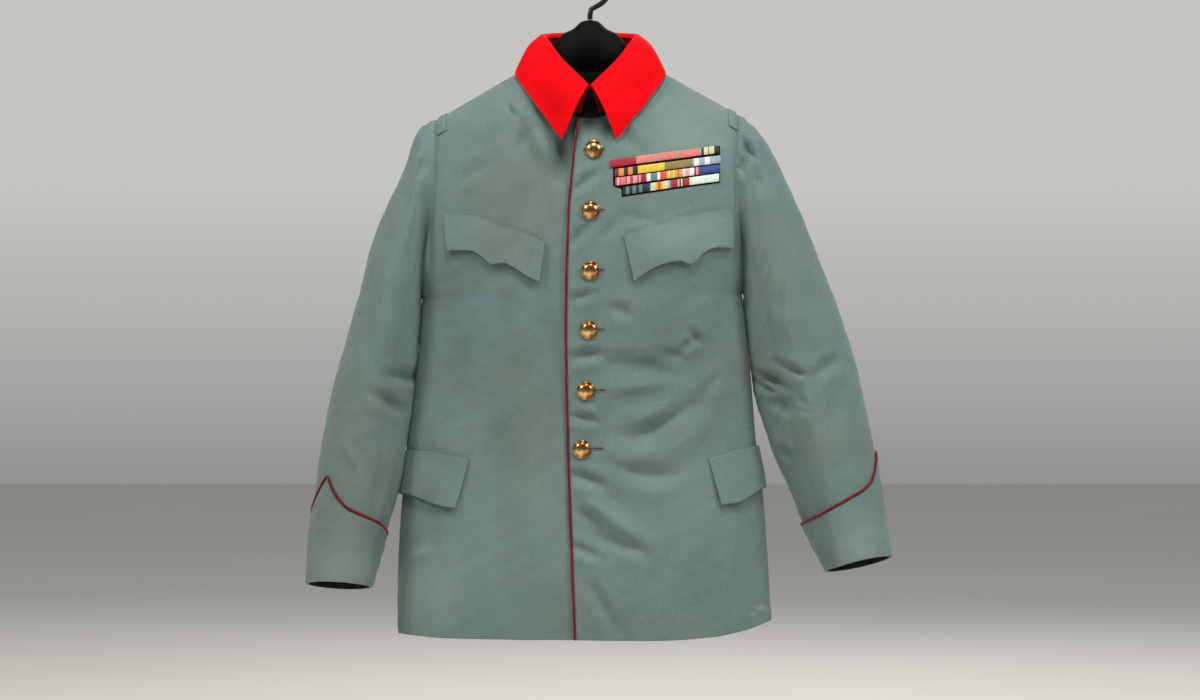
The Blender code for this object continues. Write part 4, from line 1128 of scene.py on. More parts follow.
def make_sleeve(side, piece):
    first, last = seam_rounds(side)
    if piece == "top":
        first, last = last, first + 360.0
    inside = even(COLUMNS[piece], first + EDGE_COLUMN, last - EDGE_COLUMN)
    rounds = np.concatenate([[first], inside, [last]])
    stations = np.concatenate([even(24, 0.0, 1.0)[:-1], even(150, 1.0, float(len(SLEEVES[side])))])
    sign = SIGN[side]

    def place(round_it, station):
        edge = np.minimum(round_it - first, last - round_it)
        lift = seam_roll(np.radians(edge) * SEAM_RADIUS)
        outer = sign * np.sin(np.radians(round_it))
        # The roll stands on the sleeve's head, and a furrow lies in front, low in the armhole
        on_head = ease(outer * 0.8 + 0.6)
        lift = lift + HEAD_ROLL * on_head * np.exp(-(((station - HEAD_ROLL_AT) / HEAD_ROLL_WIDE) ** 2))
        low = ease(0.55 - outer) * ease(np.cos(np.radians(round_it)) * 2.0)
        lift = lift - FURROW * low * np.exp(-((station / FURROW_WIDE) ** 2))
        lift = mix(-TUCK, lift, ease(station * TUCK_FADE))
        return on_sleeve(side, round_it, station, lift)

    # The sleeves' inner faces get painted shade
    cloth(
        f"tunic_sleeve_{side}_{piece}", rounds, stations[::-1], place, sleeve_wool, SLEEVE_WALL,
        node=f"sleeve_{side}_{piece}", inside_shade=finishes["dark_lining"],
    )


for side in ("right", "left"):
    for piece in ("top", "under"):
        make_sleeve(side, piece)

# %% [markdown]
# ## Pointed cuffs and their piping
#
# A layer of the same cloth covers the end of each sleeve. Its top edge rises to a point and is
# trimmed with dark red piping. The point is on the front outer side of the sleeve.

# %% Cuffs
Cuff = namedtuple("Cuff", "point_round point_station")
CUFFS = {"right": Cuff(-41, 9.49), "left": Cuff(83, 9.66)}
CuffDrop = namedtuple("CuffDrop", "away drop")
CUFF_DROPS = table(
    CuffDrop,
    (0, 0), (18, 0.42), (35, 0.74), (50, 0.91), (70, 1.07), (90, 1.24), (125, 1.5), (180, 1.62),
)
CUFF_REST = REST + 0.4
CUFF_SEAM = 0.8
PIPING_RADIUS = 1.7
PIPING_ABOVE = 1.0
CUFF_SEAM_ROUND = {"right": 98.0, "left": -98.0}


def cuff_top(side, round_it):
    cuff = CUFFS[side]
    return cuff.point_station + between(CUFF_DROPS, np.abs(apart(round_it, cuff.point_round)), "drop")


def make_cuff(side):
    point = CUFFS[side].point_round
    rounds = even(160, point, point + 360.0)
    last = float(len(SLEEVES[side]))

    def place(round_it, share):
        station = mix(last, cuff_top(side, round_it), share)
        beside = np.radians(apart(round_it, CUFF_SEAM_ROUND[side])) * SEAM_RADIUS
        lift = CUFF_REST + CUFF_SEAM * seam_roll(beside)
        return on_sleeve(side, round_it, station, lift)

    cloth(
        f"tunic_cuff_{side}", rounds, even(46), place, sleeve_wool, CUFF_WALL, grow=1.0, closed=True,
        node=f"cuff_{side}",
    )


def tube(name, points, radius, stuff, node=None, closed=False):
    """Round cord or wire along a line of points in metres."""
    curve = bpy.data.curves.new(name, "CURVE")
    curve.dimensions = "3D"
    curve.bevel_depth = radius * MM
    curve.bevel_resolution = 4
    curve.use_fill_caps = not closed
    line = curve.splines.new("POLY")
    line.points.add(len(points) - 1)
    for spot, point in zip(line.points, points):
        spot.co = (*point, 1.0)
    line.use_cyclic_u = closed
    line.use_smooth = True
    return finish_piece(bpy.data.objects.new(name, curve), stuff, node)


def make_cuff_piping(side):
    point = CUFFS[side].point_round
    rounds = even(220, point, point + 360.0)[:-1]

    def edge(at):
        return on_sleeve(side, at, cuff_top(side, at), PIPING_RADIUS + REST)

    run = unit(edge(rounds + 3.0) - edge(rounds - 3.0))
    up = unit(np.cross(sleeve_outward(side, rounds, cuff_top(side, rounds)), run))
    line = edge(rounds) + up * (PIPING_RADIUS + PIPING_ABOVE) * MM
    cord = f"cuff_cord_{side}"
    tube(cord, line, PIPING_RADIUS, piping_wool, f"cuff_piping_{side}", closed=True)


for make_part in (make_cuff, make_cuff_piping):
    for side in ("right", "left"):
        make_part(side)

# %% [markdown]
# ## Turn-down collar
#
# The collar has a standing band round the neck and a leaf that folds over it and ends in two
# points. Both are lofted between lines worked out from one table: the neck seam, the fold and the
# outer edge. The leaf goes over the top of the band in a tight roll, so its rows there come from
# a short table of steps out from the fold and up from it, and a smooth curve runs through them.

# %% Measures of the collar
Collar = namedtuple("Collar", "along base_x base_y base_down fold_x fold_y fold_down edge_turn edge_down")
COLLAR = table(
    Collar,
    (0.00, 12, -55, 191.5, 3, -66, 158, 6.3, 226), (0.12, 29, -50, 180, 20, -61, 141, 8.6, 215),
    (0.28, 47, -39, 159, 40, -50, 120, 12, 199), (0.42, 60, -24, 139, 53, -36, 103, 24, 172),
    (0.52, 64, -10, 127, 61, -17, 91, 46, 149), (0.60, 64, 4, 122, 64, 4, 86, 90, 132),
    (0.76, 50, 27, 124, 52, 35, 82, 128, 134), (1.00, 0, 43, 126, 0, 50, 79, 180, 134),
)
# How far the leaf bulges out between its fold and its edge, and how far off the cloth its edge lies
COLLAR_BULGE = 6.0
COLLAR_REST = 3.6
STAND_TOP = 0.96
LeafTop = namedtuple("LeafTop", "out up")
LEAF_TOP = table(LeafTop, (-4.6, -3.4), (-3.4, 0.3), (-1.0, 1.3), (1.4, 0.2))
LEAF_ROWS = 4
# Soft dents of the leaf, seen from the front
COLLAR_DENTS = table(
    Fold,
    (62, 128, 24, 70, 11, -2.4), (-58, 120, -40, 60, 12, -1.2), (40, 185, 60, 60, 12, 1.2),
    (-30, 190, -62, 60, 12, 1.0),
)


def collar_row(along):
    """Neck seam, fold and outer edge of the collar; along runs from -1 to 1, 0 at the centre back."""
    sign = np.where(along >= 0, 1.0, -1.0)
    row = Collar(*(between(COLLAR, 1.0 - np.abs(along), column) for column in Collar._fields))
    base = np.stack([sign * row.base_x, row.base_y, -row.base_down], axis=-1)
    fold = np.stack([sign * row.fold_x, row.fold_y, -row.fold_down], axis=-1)
    turn = sign * row.edge_turn
    return base, fold, form(turn, row.edge_down) + outward(turn, row.edge_down) * COLLAR_REST


def stand_place(along, share):
    base, fold, _ = collar_row(along)
    return mix(base, fold, share[..., None]) * MM


def leaf_rows(along):
    """The leaf's lines from the inner lip over the fold to the outer edge, stacked."""
    _, fold, edge = collar_row(along)
    step = 0.02
    ahead, behind = np.minimum(along + step, 1.0), np.maximum(along - step, -1.0)
    run = unit(collar_row(ahead)[1] - collar_row(behind)[1])
    out = unit(np.cross(np.array([0.0, 0.0, 1.0]), run))
    up = np.cross(run, out)
    lines = [fold + out * spot.out + up * spot.up for spot in LEAF_TOP]
    top = fold + out * LEAF_TOP[-1].out
    for share in even(LEAF_ROWS)[1:]:
        bulge = COLLAR_BULGE * math.sin(math.pi * share**0.6)
        lines.append(mix(top, edge, share) + out * bulge)
    return np.stack(lines)


def leaf_place(along, row):
    point = smooth_through(leaf_rows(along), row, 0.5)
    dents = fold_height(COLLAR_DENTS, *from_middle(point[..., 0], -point[..., 2])) * ease(row / 4.0 - 0.75)
    point[..., 1] -= dents * (point[..., 1] < 0)
    return point * MM


# %% Collar, laid
leaf_last = float(len(LEAF_TOP) + LEAF_ROWS - 1)
cloth(
    "collar_band", even(150, 1.0, -1.0), even(18, 0.0, STAND_TOP), stand_place, band_felt, COLLAR_WALL,
    node="collar_stand",
)
cloth(
    "collar_leaf", even(190, -1.0, 1.0), even(56, 0.0, leaf_last), leaf_place, scarlet_felt, COLLAR_WALL,
    grow=1.0, node="collar_fall",
)

# %% [markdown]
# ## Pocket flaps and shoulder loops
#
# The breast flaps have a scalloped lower edge, the hip flaps a plainer one that reaches round the
# side. Each is sewn along its top and hangs free below, so it stands off the cloth a little more
# towards its lower edge, and that is what throws the thin dark shadow under it.

# %% Flaps
# How far a flap's free edge stands off, and how much its middle puffs up
FLAP_FREE = 4.2
FLAP_PUFF = 1.3
FlapRow = namedtuple("FlapRow", "column top_x top bottom_x bottom")
BREAST_FLAPS = {
    "right": table(
        FlapRow,
        (0, -192, 323, -185, 371), (1, -172, 323, -167, 370), (2, -156, 324, -152, 371.5),
        (3, -142, 328, -139, 379), (4, -128, 334, -126, 389), (5, -114, 340, -112, 387),
        (6, -98, 345, -98, 393), (7, -79, 351, -82, 404), (8, -58, 361, -65, 412),
    ),
    "left": table(
        FlapRow,
        (0, 187, 317, 185, 367), (1, 170, 318, 169, 366), (2, 154, 320, 156, 368),
        (3, 140, 323, 143, 377), (4, 126, 327, 130, 388), (5, 111, 332, 116, 384),
        (6, 92, 338, 99, 387), (7, 68, 345, 78, 396), (8, 44, 353, 57, 411),
    ),
}
# The flaps' front ends lean forward at their lower corners, by this many degrees
HIP_LEAN = 3.8
HIP_LEAN_SPAN = 50.0
HipRow = namedtuple("HipRow", "turn top bottom")
HIP_FLAPS = {
    "right": table(
        HipRow,
        (-118, 636, 699), (-106, 634, 694), (-92, 632, 690), (-78, 632, 688), (-67, 632, 689),
        (-56, 633, 694), (-46, 637, 702), (-36.5, 642, 706),
    ),
    "left": table(
        HipRow,
        (40, 642, 702), (51, 634, 699), (60, 630, 691), (69, 628, 684), (79, 626, 681), (92, 626, 682),
        (106, 628, 686), (118, 630, 690),
    ),
}
# The hip flaps lie closer to the cloth where they reach round the side
HIP_FLAT = 0.3
HIP_FLAT_FROM = 100.0
HIP_FLAT_SPAN = 30.0


def flap_lift(share, across):
    """A flap's height above the cloth: sewn down at its top, free below, slightly puffed."""
    puff = FLAP_PUFF * np.sin(np.pi * np.clip(share, 0, 1)) * np.sin(np.pi * np.clip(across, 0, 1))
    return FLAP_FREE * (1.0 - share) ** 1.5 + puff


def breast_spot(side, column, share):
    """Place on a breast flap, as x and down; share 0 is its lower edge and 1 its top."""
    rows = BREAST_FLAPS[side]
    x = mix(between(rows, column, "bottom_x"), between(rows, column, "top_x"), share)
    return x, mix(between(rows, column, "bottom"), between(rows, column, "top"), share)


def hip_spot(side, turn, share):
    """Place on a hip flap, as turn and down."""
    rows = HIP_FLAPS[side]
    down = mix(between(rows, turn, "bottom"), between(rows, turn, "top"), share)
    lean = HIP_LEAN * (1.0 - share) * np.maximum(0.0, 90.0 - np.abs(turn)) / HIP_LEAN_SPAN
    return turn + np.sign(turn) * lean, down


def make_breast_flap(side):
    last = float(BREAST_FLAPS[side][-1].column)
    columns = even(88, 0.0, last) if side == "right" else even(88, last, 0.0)

    def place(column, share):
        x, down = breast_spot(side, column, share)
        return on_cloth(turn_at(x, down), down, REST + flap_lift(share, column / last))

    cloth(
        f"breast_flap_{side}", columns, even(30), place, front_wool, FLAP_WALL, grow=1.0,
        node=f"flap_breast_{side}",
    )


def make_hip_flap(side):
    first, last = HIP_FLAPS[side][0].turn, HIP_FLAPS[side][-1].turn

    def place(turn, share):
        across = (turn - first) / (last - first)
        at, down = hip_spot(side, turn, share)
        flatter = mix(HIP_FLAT, 1.0, ease((HIP_FLAT_FROM - np.abs(turn)) / HIP_FLAT_SPAN))
        return on_cloth(at, down, WRAP_REST + flap_lift(share, across) * flatter)

    cloth(
        f"hip_flap_{side}", even(96, first, last), even(34), place, front_wool, FLAP_WALL, grow=1.0,
        node=f"flap_hip_{side}",
    )


for make_flap in (make_breast_flap, make_hip_flap):
    for side in ("right", "left"):
        make_flap(side)

# %% Shoulder loops
LOOP_WIDTH = 11.0
LOOP_REACH = 24.0
LOOP_FROM_END = 9.0
LOOP_REST = 0.4
LOOP_CROWN = 0.5
LOOP_WALL = 1.1


def make_loop(side):
    """Narrow loop that crosses the shoulder from front to back."""
    sign = SIGN[side]
    end = SHOULDER_END[side]

    def place(column, share):
        x = end.x - (LOOP_FROM_END - LOOP_WIDTH / 2 + LOOP_WIDTH * share)
        ridge = mix(NECK_SIDE_DOWN, end.down, (x - NECK_X) / (end.x - NECK_X))
        down = ridge + LOOP_REACH * column * column
        crown = LOOP_CROWN * np.sin(np.pi * share)
        return on_cloth(turn_at(sign * x, down, back=column > 0), down, LOOP_REST + crown)

    columns = even(80, -sign, sign)
    cloth(
        f"loop_{side}", columns, even(8), place, front_wool, LOOP_WALL, grow=1.0, edge=0.4,
        node=f"shoulder_loop_{side}",
    )


for side in ("right", "left"):
    make_loop(side)

# %% [markdown]
# ## Piping of the front edge
#
# The dark red cord runs down the whole free edge of the left front, from the neckline to the hem.
# It is sewn in by hand along a long edge, so it wavers by a fraction of a millimetre.

# %% Front piping
PIPING_WAVER = 0.25


def make_edge_piping():
    top = float(inner_edge("left", np.array(2.0))[1])
    down = even(300, top + 1.0, float(hem_down(FREE_EDGE[-1].x)))
    x = between(FREE_EDGE, down, "x") - PIPING_RADIUS - SEAM + PIPING_WAVER * np.sin(down / 13.0)
    turn = turn_at(x, down)
    lifted = panel_creases("front_left", turn, down)[..., None]
    line = (form(turn, down) + outward(turn, down) * lifted) * MM
    tube("front_cord", line, PIPING_RADIUS, piping_wool, "edge_piping")
    print("front cord:", len(line), "points")


make_edge_piping()

# %% [markdown]
# ## Buttons
#
# Each button is a stamped dome: a smooth crown, a shallow groove and a rolled rim. Its section is
# a short table, turned round the axis with the Screw modifier as a lathe would, and the button is
# set square to the cloth.

# %% Buttons
BUTTON_RADIUS = 11.8
BUTTON_DOME = 6.5
Rim = namedtuple("Rim", "out up")
BUTTON_SECTION = table(
    Rim,
    (0.0, 1.0), (0.2, 0.985), (0.4, 0.93), (0.58, 0.83), (0.72, 0.69), (0.82, 0.52), (0.86, 0.40),
    (0.885, 0.345), (0.92, 0.36), (0.955, 0.37), (0.985, 0.31), (1.0, 0.2), (0.99, 0.08), (0.95, 0.01),
    (0.88, 0.0), (0.0, 0.0),
)


def make_button(number, spot):
    mesh = bpy.data.meshes.new(f"gilt_button_{number}")
    points = [(rim.out * BUTTON_RADIUS * MM, 0.0, rim.up * BUTTON_DOME * MM) for rim in BUTTON_SECTION]
    mesh.from_pydata(points, [(i, i + 1) for i in range(len(points) - 1)], [])
    piece = bpy.data.objects.new(mesh.name, mesh)
    turned = piece.modifiers.new("turned", "SCREW")
    turned.steps = 48
    turned.render_steps = 48
    turned.use_merge_vertices = True
    turned.merge_threshold = 0.00001
    turned.use_smooth_shade = True
    turn = turn_at(spot.x, spot.down)
    square = Vector(outward(turn, spot.down))
    turn_it = square.to_track_quat("Z", "Y").to_matrix().to_4x4()
    piece.matrix_world = Matrix.Translation(Vector(on_cloth(turn, spot.down, WRAP_REST))) @ turn_it
    finish_piece(piece, gilt, f"button_{number}")


for number, spot in enumerate(BUTTONS, 1):
    make_button(number, spot)
print("buttons:", len(BUTTONS), "of", 2 * BUTTON_RADIUS, "mm")

# %% [markdown]
# ## Stitches and buttonholes
#
# A stitch is a short loop of thread that bites into the cloth at both ends. One small tapered
# capsule is copied along a line with numpy, turned to the line and the cloth, and all the stitches
# of a seam are joined in one mesh. A buttonhole is a slit whose lips are whipped with such
# stitches, side by side and square to it.

# %% Stitch maker
Bead = namedtuple("Bead", "along thick")
STITCH = table(Bead, (-1.0, 0.25), (-0.75, 0.8), (-0.3, 1.0), (0.3, 1.0), (0.75, 0.8), (1.0, 0.25))
STITCH_SIDES = 6
LOOK_AHEAD = 0.5 * MM
NEVER_ZERO = 1e-12


def stitch_mesh(name, middles, ways, ups, half_long, half_thick):
    """All stitches of a line as one mesh: points in metres, directions and sizes in millimetres."""
    ring = np.arange(STITCH_SIDES) / STITCH_SIDES * 2 * math.pi
    along = np.repeat([bead.along for bead in STITCH], STITCH_SIDES) * half_long
    thick = np.repeat([bead.thick for bead in STITCH], STITCH_SIDES) * half_thick
    right = thick * np.tile(np.cos(ring), len(STITCH))
    up = thick * np.tile(np.sin(ring), len(STITCH))
    side = unit(np.cross(ups, ways))
    points = middles[:, None, :] + MM * (
        along[None, :, None] * ways[:, None, :]
        + right[None, :, None] * side[:, None, :]
        + up[None, :, None] * ups[:, None, :]
    )
    faces = []
    for k in range(len(STITCH) - 1):
        for s in range(STITCH_SIDES):
            n = (s + 1) % STITCH_SIDES
            a, b = k * STITCH_SIDES, (k + 1) * STITCH_SIDES
            faces.append((a + s, a + n, b + n, b + s))
    faces.append(tuple(range(STITCH_SIDES))[::-1])
    faces.append(tuple(range((len(STITCH) - 1) * STITCH_SIDES, len(STITCH) * STITCH_SIDES)))
    per = len(STITCH) * STITCH_SIDES
    every = [tuple(v + n * per for v in face) for n in range(len(middles)) for face in faces]
    mesh = bpy.data.meshes.new(name)
    mesh.from_pydata(points.reshape(-1, 3).tolist(), [], every)
    mesh.shade_smooth()
    return mesh


def stitch_line(name, line, ups, pitch=3.4, half_long=1.25, half_thick=0.28):
    """Stitches along a line of points in metres, with the cloth's outward directions."""
    steps = np.linalg.norm(np.diff(line, axis=0), axis=-1)
    at = np.concatenate([[0.0], np.cumsum(steps)])
    places = np.arange(pitch / 2, at[-1] / MM - pitch / 2, pitch) * MM
    middles = np.stack([np.interp(places, at, line[:, k]) for k in range(3)], -1)
    up = unit(np.stack([np.interp(places, at, ups[:, k]) for k in range(3)], -1))
    ahead = np.stack([np.interp(places + LOOK_AHEAD, at, line[:, k]) for k in range(3)], -1)
    way = unit(ahead - middles + NEVER_ZERO)
    piece = bpy.data.objects.new(name, stitch_mesh(name, middles, way, up, half_long, half_thick))
    finish_piece(piece, finishes["tunic_thread"])


# %% Stitch lines above the flaps
STITCH_ABOVE = 6.0
STITCH_LIFT = 0.12
END_FREE = 0.15


def flap_stitches(name, side, kind):
    if kind == "breast":
        last = BREAST_FLAPS[side][-1].column
        x, down = breast_spot(side, even(60, END_FREE, last - END_FREE), 1.0)
        turn = turn_at(x, down - STITCH_ABOVE)
    else:
        rows = HIP_FLAPS[side]
        turn, down = hip_spot(side, even(60, rows[0].turn, rows[-1].turn), 1.0)
    down = down - STITCH_ABOVE
    stitch_line(name, on_cloth(turn, down, STITCH_LIFT), outward(turn, down))


for kind in ("breast", "hip"):
    for side in ("right", "left"):
        flap_stitches(f"{kind}_stitches_{side}", side, kind)
print("stitch lines above the flaps:", len(BREAST_FLAPS) + len(HIP_FLAPS))

# %% Buttonholes
HOLE_LONG = 26.0
HOLE_HALF_WIDE = 1.5
WHIP_PITCH = 0.75
HOLE_TILT = 0.04
HOLE_END = 0.8
WHIP_LIFT = 0.15
WHIP_HALF_LONG = 1.15
WHIP_HALF_THICK = 0.42
SLIT_LIFT = -0.1
SLIT_RADIUS = 0.55


def make_buttonhole(number, spot):
    """Whipped lips on both sides of a slit, and the slit's shadow between them."""
    count = int(HOLE_LONG / WHIP_PITCH)
    along = even(count, spot.hole, spot.hole + HOLE_LONG)
    middles, ways, ups = [], [], []
    for lip in (-1.0, 1.0):
        x = spot.x + along
        down = spot.down + lip * HOLE_HALF_WIDE - HOLE_TILT * along
        turn = turn_at(x, down)
        middles.append(on_cloth(turn, down, WHIP_LIFT))
        ups.append(outward(turn, down))
        ways.append(np.tile([0.0, 0.0, 1.0], (len(x), 1)))
    end_down = spot.down + even(4, -HOLE_HALF_WIDE, HOLE_HALF_WIDE) - HOLE_TILT * along[-1]
    end_turn = turn_at(spot.x + along[-1] + HOLE_END, end_down)
    middles.append(on_cloth(end_turn, end_down, WHIP_LIFT))
    ups.append(outward(end_turn, end_down))
    ways.append(np.tile([1.0, 0.0, 0.0], (len(end_down), 1)))
    middle, way, up = (np.concatenate(parts) for parts in (middles, ways, ups))
    way = unit(way - up * np.sum(way * up, axis=-1, keepdims=True))
    mesh = stitch_mesh(f"buttonhole_{number}", middle, way, up, WHIP_HALF_LONG, WHIP_HALF_THICK)
    finish_piece(bpy.data.objects.new(mesh.name, mesh), finishes["tunic_thread"])
    along = even(12, spot.hole, spot.hole + HOLE_LONG)
    x, down = spot.x + along, spot.down - HOLE_TILT * along
    line = on_cloth(turn_at(x, down), down, SLIT_LIFT)
    tube(f"buttonhole_slit_{number}", line, SLIT_RADIUS, finishes["slit_shadow"])


for number, spot in enumerate(BUTTONS, 1):
    make_buttonhole(number, spot)
print("buttonholes:", len(BUTTONS), "of", HOLE_LONG, "mm")

# %% [markdown]
# ## Ribbon bars
#
# Each row is woven ribbon wound round narrow metal bars, pinned on a black felt backing. The
# ribbon is ribbed silk, with ribs that run across its stripes. Stripes are plain bands of colour,
# so each row has a short chart, in millimetres from the row's left end as we see it, and a colour
# ramp with hard steps reads it along the "cut" map. Real ribs are about half a millimetre apart and
# too fine to show, so the relief is a soft wave of 7 mm, which rounds the ribbon a little.

# %% Charts of the stripes
Ribbon = namedtuple("Ribbon", "from_x from_down to_x to_down")
RIBBONS = table(
    Ribbon,
    (26, 258.5, 168, 238),
    (32, 270.5, 170, 251),
    (33, 282, 169, 263),
    (43, 294, 168, 275),
)
RIBBON_WALL = 1.6
RIBBON_HEIGHT = 10.6
RIBBON_FACE = 9.8
RIB_SCALE = 45.45
SELVEDGE = 1.02
CRIMSON, SALMON, STONE, BLACK, CREAM = "#a3122f", "#dd7c76", "#9d9a8e", "#121314", "#d8cfae"
MAROON, ORANGE, YELLOW, BROWN, WHITE = "#5d1a1c", "#e5873c", "#e6c53c", "#8b7b42", "#e8eaf0"
PINK, ROSE, SCARLET, GOLD, BLUE, NAVY = "#e5a7a4", "#d0405a", "#d94a2c", "#e6a032", "#123c86", "#101c33"
SEA, SAND, MINT, PLUM, OLIVE, MIST = "#5f7f7c", "#dcd8a6", "#d9ecdc", "#8c3458", "#7d7f52", "#9aa9bf"
Stripe = namedtuple("Stripe", "start colour")
STRIPES = (
    table(
        Stripe,
        (0, CRIMSON), (34.5, SALMON), (60, STONE), (62, SALMON), (88, STONE), (90.5, SALMON),
        (118.5, STONE), (121.5, BLACK), (125, CREAM), (130.5, OLIVE), (132.5, CREAM), (139, BLACK),
    ),
    table(
        Stripe,
        (0, MAROON), (5.5, ORANGE), (12, BLACK), (17.5, ORANGE), (23.5, BLACK), (30, YELLOW),
        (66, BROWN), (103, STONE), (105, WHITE), (112, MIST), (119.5, WHITE), (127, MIST),
    ),
    table(
        Stripe,
        (0, ROSE), (2, PINK), (5, ROSE), (7, SALMON), (13, ROSE), (15, PINK), (19, ROSE), (23, PINK),
        (28, ROSE), (31, PINK), (33, CRIMSON), (41, WHITE), (46, SEA), (55, WHITE), (59, SCARLET),
        (67, GOLD), (70, SAND), (71.5, GOLD), (76, SAND), (77.5, GOLD), (82, SCARLET), (84, GOLD),
        (89, WHITE), (92, PINK), (98, WHITE), (104, CRIMSON), (107, PINK), (109, ROSE), (111, BLUE),
    ),
    table(
        Stripe,
        (0, NAVY), (4, SEA), (8, NAVY), (12.5, SEA), (17, NAVY), (21, SEA), (25, NAVY), (33, BLUE),
        (36, SAND), (43, GOLD), (46, SCARLET), (49, GOLD), (52, SAND), (59, MIST), (62, PLUM),
        (65, CRIMSON), (72, PINK), (74.5, BLACK), (76.5, CREAM), (78.5, BLACK), (80, CRIMSON),
        (88, SAND), (91, MINT), (104, WHITE), (107, MINT),
    ),
)


def ribbed_silk(number, length):
    """Ribbed silk with one row's stripes; length is the row's own, in metres."""
    made, tree, shader, _ = new_material(f"ribbed_silk_{number}")
    cut = add(tree, "UVMap", uv_map="cut")
    parts = add(tree, "SeparateXYZ", {"Vector": cut})
    share = add(tree, "Math", {0: parts.outputs["X"], 1: length}, operation="DIVIDE")
    ramp = add(tree, "ValToRGB", {"Fac": share})
    ramp.color_ramp.interpolation = "CONSTANT"
    stops = ramp.color_ramp.elements
    stops.remove(stops[1])
    for k, stripe in enumerate(STRIPES[number - 1]):
        at = stripe.start * MM / length
        stop = stops[0] if k == 0 else stops.new(at)
        stop.position = at
        stop.color = linear(stripe.colour)
    soil = add(tree, "TexNoise", {"Vector": cut, "Scale": 260.0, "Detail": 4.0})
    soiled = add(tree, "MapRange", {"Value": soil, "From Min": 0.4, "From Max": 0.8, "To Max": 0.3})
    colour = add(tree, "Mix", {FACTOR: soiled, FIRST: ramp, SECOND: "#5b4a3c"}, data_type="RGBA")
    wave = {"Vector": cut, "Scale": RIB_SCALE, "Distortion": 0.6}
    ribs = add(tree, "TexWave", wave, bands_direction="Y").outputs["Fac"]
    relief = add(tree, "Bump", {"Height": ribs, "Strength": 0.35, "Distance": 0.0003})
    looks = {"Base Color": colour, "Normal": relief, "Roughness": 0.55}
    feed(tree, shader, {**looks, "Sheen Weight": 0.2, "Sheen Roughness": 0.3})
    return made


# %% Ribbon rows and their backing
RIBBON_CROWN = 0.5
BACKING_WALL = 0.35
BACKING_EDGE = 1.8
BACKING_TOP = 1.0
BACKING_LIFT = 0.1


def make_ribbon(number, row):
    length = math.hypot(row.to_x - row.from_x, row.to_down - row.from_down) * MM

    def place(share, up):
        x = mix(row.from_x, row.to_x, share)
        down = mix(row.from_down, row.to_down, share) - up * RIBBON_FACE / 2
        crown = RIBBON_CROWN * (1.0 - up * up)
        return on_cloth(turn_at(x, down), down, REST + crown)

    silk = ribbed_silk(number, length * SELVEDGE)
    cloth(
        f"ribbon_bars_{number}", even(150), even(10, -1.0, 1.0), place, silk, RIBBON_WALL, grow=1.0,
        node=f"ribbon_row_{number}",
    )


def make_backing():
    """Black felt under the four rows, a little larger than they are."""
    top, bottom = RIBBONS[0], RIBBONS[-1]

    def middle(row, x):
        return mix(row.from_down, row.to_down, (x - row.from_x) / (row.to_x - row.from_x))

    def place(share, up):
        # The lowest row starts further right, so the felt steps out above it
        left_x = mix(bottom.from_x, RIBBONS[1].from_x, ease((up - 0.2) * 8.0)) - BACKING_EDGE
        x = mix(left_x, mix(bottom.to_x, top.to_x, up) + BACKING_EDGE, share)
        low = middle(bottom, x) + RIBBON_HEIGHT / 2 + BACKING_EDGE
        down = mix(low, middle(top, x) - RIBBON_HEIGHT / 2 + BACKING_TOP, up)
        return on_cloth(turn_at(x, down), down, BACKING_LIFT)

    cloth(
        "ribbon_backing", even(90), even(30), place, finishes["black_backing"], BACKING_WALL, grow=1.0,
        edge=0.0, node="ribbon_row_1",
    )


for number, row in enumerate(RIBBONS, 1):
    make_ribbon(number, row)
make_backing()

# %% [markdown]
# ## Hanger and hook
#
# Only the hanger's neck shows, black in the open collar. It is one broad moulded body, lofted from
# end to end through ellipses, so light slides along it without a facet. The wire hook goes round
# the rail in one bend.

# %% Hanger
HangerRow = namedtuple("HangerRow", "x top tall deep")
HANGER = table(
    HangerRow,
    (0, 64, 66, 24), (10, 66, 66, 24), (22, 76, 62, 24), (38, 84, 60, 23), (47, 97, 54, 20),
    (55, 117, 42, 13), (63, 127, 36, 11), (78, 128, 36, 14), (100, 140, 36, 18), (140, 163.2, 34, 19),
    (170, 180.8, 30, 19), (182, 188.8, 24, 15), (187, 195, 12, 7),
)
HOOK_RADIUS = 3.5
HOOK_BEND = 25.5
HOOK_ROOT_DOWN = 63.6
HOOK_ROOT = ((0.0, 0.0), (0.0, 6.0), (1.5, 13.0))
HOOK_FROM = -62.0
HOOK_TO = 205.0


def make_hanger():
    places = even(220, -HANGER[-1].x, HANGER[-1].x)
    angles = np.radians(even(40, 0.0, 360.0)[:-1])
    top, tall, deep = (between(HANGER, np.abs(places), column) for column in ("top", "tall", "deep"))
    middle = -(top + tall / 2)
    rings = np.stack(
        [
            np.repeat(places[:, None], len(angles), 1),
            deep[:, None] * np.sin(angles),
            middle[:, None] + tall[:, None] / 2 * np.cos(angles),
        ],
        axis=-1,
    )
    work = bmesh.new()
    corners = [[work.verts.new(point * MM) for point in ring] for ring in rings]
    for before, after in zip(corners, corners[1:]):
        for i in range(len(before)):
            j = (i + 1) % len(before)
            work.faces.new((before[i], before[j], after[j], after[i]))
    work.faces.new(corners[0][::-1])
    work.faces.new(corners[-1])
    bmesh.ops.recalc_face_normals(work, faces=work.faces)
    mesh = bpy.data.meshes.new("broad_hanger")
    work.to_mesh(mesh)
    work.free()
    mesh.shade_smooth()
    hanger = bpy.data.objects.new(mesh.name, mesh)
    finish_piece(hanger, finishes["moulded_black"], "hanger_body")


def make_hook():
    line = [(across * MM, 0.0, (up - HOOK_ROOT_DOWN) * MM) for across, up in HOOK_ROOT]
    for angle in np.radians(even(64, HOOK_FROM, HOOK_TO)):
        across, up = math.cos(angle) * HOOK_BEND, math.sin(angle) * HOOK_BEND
        line.append((across * MM, 0.0, (up + HOOK_RADIUS - HOOK_BEND) * MM))
    tube("wire_hook", line, HOOK_RADIUS, finishes["coated_wire"], "hanger_hook")


